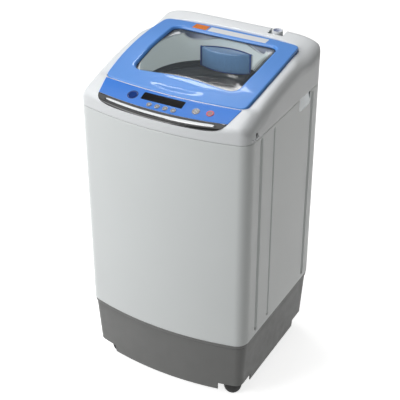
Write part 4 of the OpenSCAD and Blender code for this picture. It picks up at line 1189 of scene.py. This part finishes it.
def make_drawer():
    # lens box: ribbed, bowed front, lighter top set in a dark rim
    n = 260
    hw = D_HW - 2.6
    xs = span(-hw, hw, n)
    zs = [D_LOW + 1.5, D_LOW + 1.9, D_LOW + 3.0] + [D_LOW + 5 + 5.0 * i for i in range(9)] + [D_HIGH - 3.4,
            D_HIGH - 2.2, D_HIGH - 1.6]
    rows = []
    for z in zs:
        e = 1.6 * (1 - smooth(0, 2.4, z - D_LOW - 1.5)) + 1.8 * smooth(-2.6, 0, z - D_HIGH + 1.6)
        row = []
        for x in xs:
            rib = 0.55 * abs(sin(x * pi / 3.6)) * (1 - smooth(hw - 4, hw - 1, abs(x)))
            row.append(at_drawer(x, drawer_front(x, 2.7 + e - rib), z))
        rows.append(row)
    o = piece("drawer_lens", grid(rows), "drawer", M_DRAWER, ["drawer_tray"], angle=60)
    solidify(o, 1.8, 1.0, 60)
    # recessed top plate
    top = []
    for j in range(9):
        t = j / 8
        row = []
        for i in range(61):
            x = (-1 + i / 30) * (hw - 0.6)
            yf = drawer_front(x, 4.3)
            yb = sqrt(139.0 ** 2 - x * x) - 1.2
            row.append(at_drawer(x, yf + (yb - yf) * t, D_HIGH - 2.9 + 1.0 * (1 - (2 * t - 1) ** 2)))
        top.append(row)
    o = piece("drawer_top", grid(top), "drawer", M_DRAWTOP, [])
    solidify(o, 1.2, -1.0)
    # frame: sides, bottom plate and raised rim round the top and back
    across = span(-D_HW, D_HW, 60)
    outline = [(x, drawer_front(x) + 1.0) for x in across]
    outline += [(x, sqrt(140.6 ** 2 - x * x)) for x in span(D_HW, -D_HW, 60)]
    bottom = [at_drawer(x, y, 0)[:2] for x, y in outline]
    link("drawer_floor", prism("drawer_floor", bottom, D_LOW, D_LOW + 1.5), "drawer", M_NAVY)
    for s, side in SIDES:
        yf, yb = drawer_front(D_HW), sqrt(140.6 ** 2 - D_HW ** 2)
        prof = [(yf + 0.6, D_LOW + 1), (yf + 0.2, D_LOW + 3), (yf, D_HIGH - 5), (yf + 0.4, D_HIGH - 1.6),
                (yf + 2.2, D_HIGH - 0.2),
                (yf + 5, D_HIGH), (yb, D_HIGH), (yb, D_LOW)]
        prof = rounded_profile(prof, 1.0, 3)
        a = [at_drawer(s * D_HW, y, z) for y, z in prof]
        b = [at_drawer(s * (D_HW - 2.4), y, z) for y, z in prof]
        o = piece(f"drawer_cheek_{side[0]}", between(a, b), "drawer", M_NAVY,
                  ["drawer_frame"] if s > 0 else [])
        bevel(o, 0.6, 50)
        resmooth(o)
    rim = []
    for x in across:
        yb = sqrt(140.8 ** 2 - x * x)
        prof = [(yb - 0.2, D_LOW + 1), (yb - 0.2, D_HIGH - 0.2), (yb - 1.0, D_HIGH + 0.0),
                (yb - 3.0, D_HIGH), (yb - 3.8, D_HIGH - 0.6),
                (yb - 4.0, D_HIGH - 3.4), (yb - 4.0, D_LOW + 1)]
        rim.append([at_drawer(x, y, z) for y, z in prof])
    rows = turned(rim)
    o = piece("drawer_back_rim", grid(rows + [rows[0]]), "drawer", M_NAVY, angle=40, weld=0.01)
    fill_holes(o)
    # front bead over the lens
    z0, z1 = D_LOW, D_LOW + 2.2
    bead = []
    for x in across:
        yf = drawer_front(x)
        prof = ((yf + 3.4, z0), (yf + 0.9, z0), (yf + 0.4, z0 + 0.5), (yf + 0.4, z1 - 0.5), (yf + 0.8, z1),
                (yf + 3.4, z1))
        bead.append([at_drawer(x, y, z) for y, z in prof])
    rows = turned(bead)
    o = piece("drawer_bead_low", grid(rows + [rows[0]]), "drawer", M_NAVY, angle=40, weld=0.01)
    fill_holes(o)
    for s, side in SIDES:
        q = [at_drawer(x, y, 0)[:2] for x, y in rrect(s * 46, 150, 9.6, 44, 1.5)]
        link(f"drawer_runner_{side[0]}", prism("drawer_runner", q, 741, 751), "drawer", M_NAVY)


def fill_holes(o):
    bm = bmesh.new()
    bm.from_mesh(o.data)
    bmesh.ops.holes_fill(bm, edges=[e for e in bm.edges if len(e.link_faces) == 1], sides=0)
    bmesh.ops.recalc_face_normals(bm, faces=bm.faces)
    finish_bm(bm, o.data, 40)


# ---- water inlet and pulsator
def make_inlet():
    x, y = 98.0, 185.0
    prof = [(9.6, 779.0), (9.6, 810.2), (10.0, 810.8), (12.6, 810.9), (13.2, 810.3), (13.2, 809.2)]
    z = 808.4
    while z > 796.0:
        prof += [(12.5, z - 0.35), (12.5, z - 0.75), (13.2, z - 1.1), (13.2, z - 1.5)]
        z -= 1.85
    prof += [(13.0, 791.2), (15.0, 791.0), (15.0, 785.0), (13.2, 785.0), (13.2, 765.0), (9.6, 765.0)]
    link("inlet_stub", lathe("inlet_stub", prof, x, y, 96, close=True), "cabinet", M_COVER)
    scr = [(0.6, 803.2), (3.0, 803.0), (6.0, 802.2), (8.2, 800.6), (9.3, 800.4), (9.3, 797.0), (0.6, 797.0)]
    link("inlet_mesh", lathe("inlet_mesh", scr, x, y, 64), "cabinet", M_INLET, ["inlet_screen"])


def make_pulsator():
    cx, cy, z0 = 0.0, TUB_Y, 358.0
    n, m = 192, 40
    rows = []
    R = 122.0
    for j in range(m + 1):
        r = 11.2 + (R - 11.2) * j / m
        row = []
        for i in range(n):
            a = 2 * pi * i / n
            base = 11 + 11 * (1 - smooth(20, 92, r)) - 3.0 * smooth(104, 122, r)
            w = (a + 0.0022 * (r - 30)) % (pi / 2) - pi / 4
            s = abs(w) * r
            vane = 15.0 * exp(-(s / 8.5) ** 2) * smooth(14, 30, r) * (1 - smooth(88, 112, r))
            row.append((cx + r * cos(a), cy + r * sin(a), z0 + base + vane))
        rows.append(row)
    rows += [circle(r, z, n, cx, cy) for r, z in ((R, z0 + 5), (R - 8, z0), (11.2, z0))]
    rows.append(rows[0])
    piece("pulsator_disc", grid(rows, close=True), "agitator", M_PULS, ["pulsator"], angle=50, weld=0.01)
    cap = [(0.3, 384.2), (4.0, 384.0), (8.0, 382.8), (10.2, 380.6), (10.8, 378.0), (10.8, 370.0),
           (0.3, 370.0)]
    link("pulsator_knob", lathe("pulsator_knob", rounded_profile(cap, 0.8, 3), cx, cy, 96), "agitator",
         M_PANEL, ["pulsator_cap"])


# ---- stage
def make_stage():
    s = 14.0
    me = bpy.data.meshes.new("floor")
    me.from_pydata([(-s, -s, 0), (s, -s, 0), (s, s, 0), (-s, s, 0)], [], [(0, 1, 2, 3)])
    floor = bpy.data.objects.new("floor", me)
    bpy.context.scene.collection.objects.link(floor)
    m = bpy.data.materials.new("floor_pale")
    m.use_nodes = True
    b = m.node_tree.nodes["Principled BSDF"]
    put(b, Base_Color=(0.93, 0.93, 0.93, 1), Roughness=0.9, Specular_IOR_Level=0.1)
    put(b, Emission_Color=(1, 1, 1, 1), Emission_Strength=0.75)
    me.materials.append(m)
    floor.visible_diffuse = False

    world = bpy.data.worlds.new("studio")
    bpy.context.scene.world = world
    world.use_nodes = True
    N, L = world.node_tree.nodes, world.node_tree.links
    bg = N["Background"]
    tc = N.new("ShaderNodeTexCoord")
    sep = N.new("ShaderNodeSeparateXYZ")
    L.new(tc.outputs["Generated"], sep.inputs[0])
    ramp = N.new("ShaderNodeValToRGB")
    e = ramp.color_ramp.elements
    e[0].position, e[0].color = 0.0, (0.42, 0.42, 0.40, 1)
    e[1].position, e[1].color = 1.0, (1.0, 1.0, 1.0, 1)
    lean = math_node(N, L, "MULTIPLY_ADD", sep.outputs["X"], -0.62, 0.5)
    lean = math_node(N, L, "MULTIPLY_ADD", sep.outputs["Y"], -0.18, lean)
    lean = math_node(N, L, "MULTIPLY_ADD", sep.outputs["Z"], 0.22, lean)
    L.new(lean, ramp.inputs["Fac"])
    L.new(ramp.outputs["Color"], bg.inputs["Color"])
    bg.inputs["Strength"].default_value = 0.34
    bpy.context.scene.view_settings.view_transform = "Standard"

    def area(name, loc, target, size, power, size_y=None):
        d = bpy.data.lights.new(name, "AREA")
        d.shape = "RECTANGLE"
        d.size, d.size_y = size, size_y or size
        d.energy = power
        o = bpy.data.objects.new(name, d)
        o.location = loc
        o.rotation_euler = (Vector(target) - Vector(loc)).to_track_quat("-Z", "Y").to_euler()
        bpy.context.scene.collection.objects.link(o)
    area("key", (-2.2, -3.1, 2.2), (0, 0, 0.45), 2.0, 78)
    area("top", (-0.9, -0.2, 3.2), (0, 0, 0.6), 2.4, 31)
    area("dish_glint", (-0.88, 1.06, 2.35), (0, -0.1, 0.77), 0.34, 3.6, size_y=0.2)

    cam = bpy.data.cameras.new("camera")
    cam.lens, cam.sensor_width, cam.sensor_height = 95.37, 36.0, 36.0
    cam.clip_end = 100
    o = bpy.data.objects.new("camera", cam)
    o.location = (1.0425, -1.8783, 1.7519)
    o.rotation_euler = (Vector((-0.0099, 0.015, 0.4144)) - Vector(o.location)).to_track_quat("-Z",
            "Y").to_euler()
    bpy.context.scene.collection.objects.link(o)
    bpy.context.scene.camera = o


make_stage()
make_cabinet()
make_grips()
make_plinth()
make_feet()
make_cover()
make_throat()
make_rings()
make_lid()
make_window()
make_labels()
make_panel()
make_keys()
make_trim()
make_drawer()
make_inlet()
make_pulsator()
make_springs()
make_bellows()
make_hinge_pins()
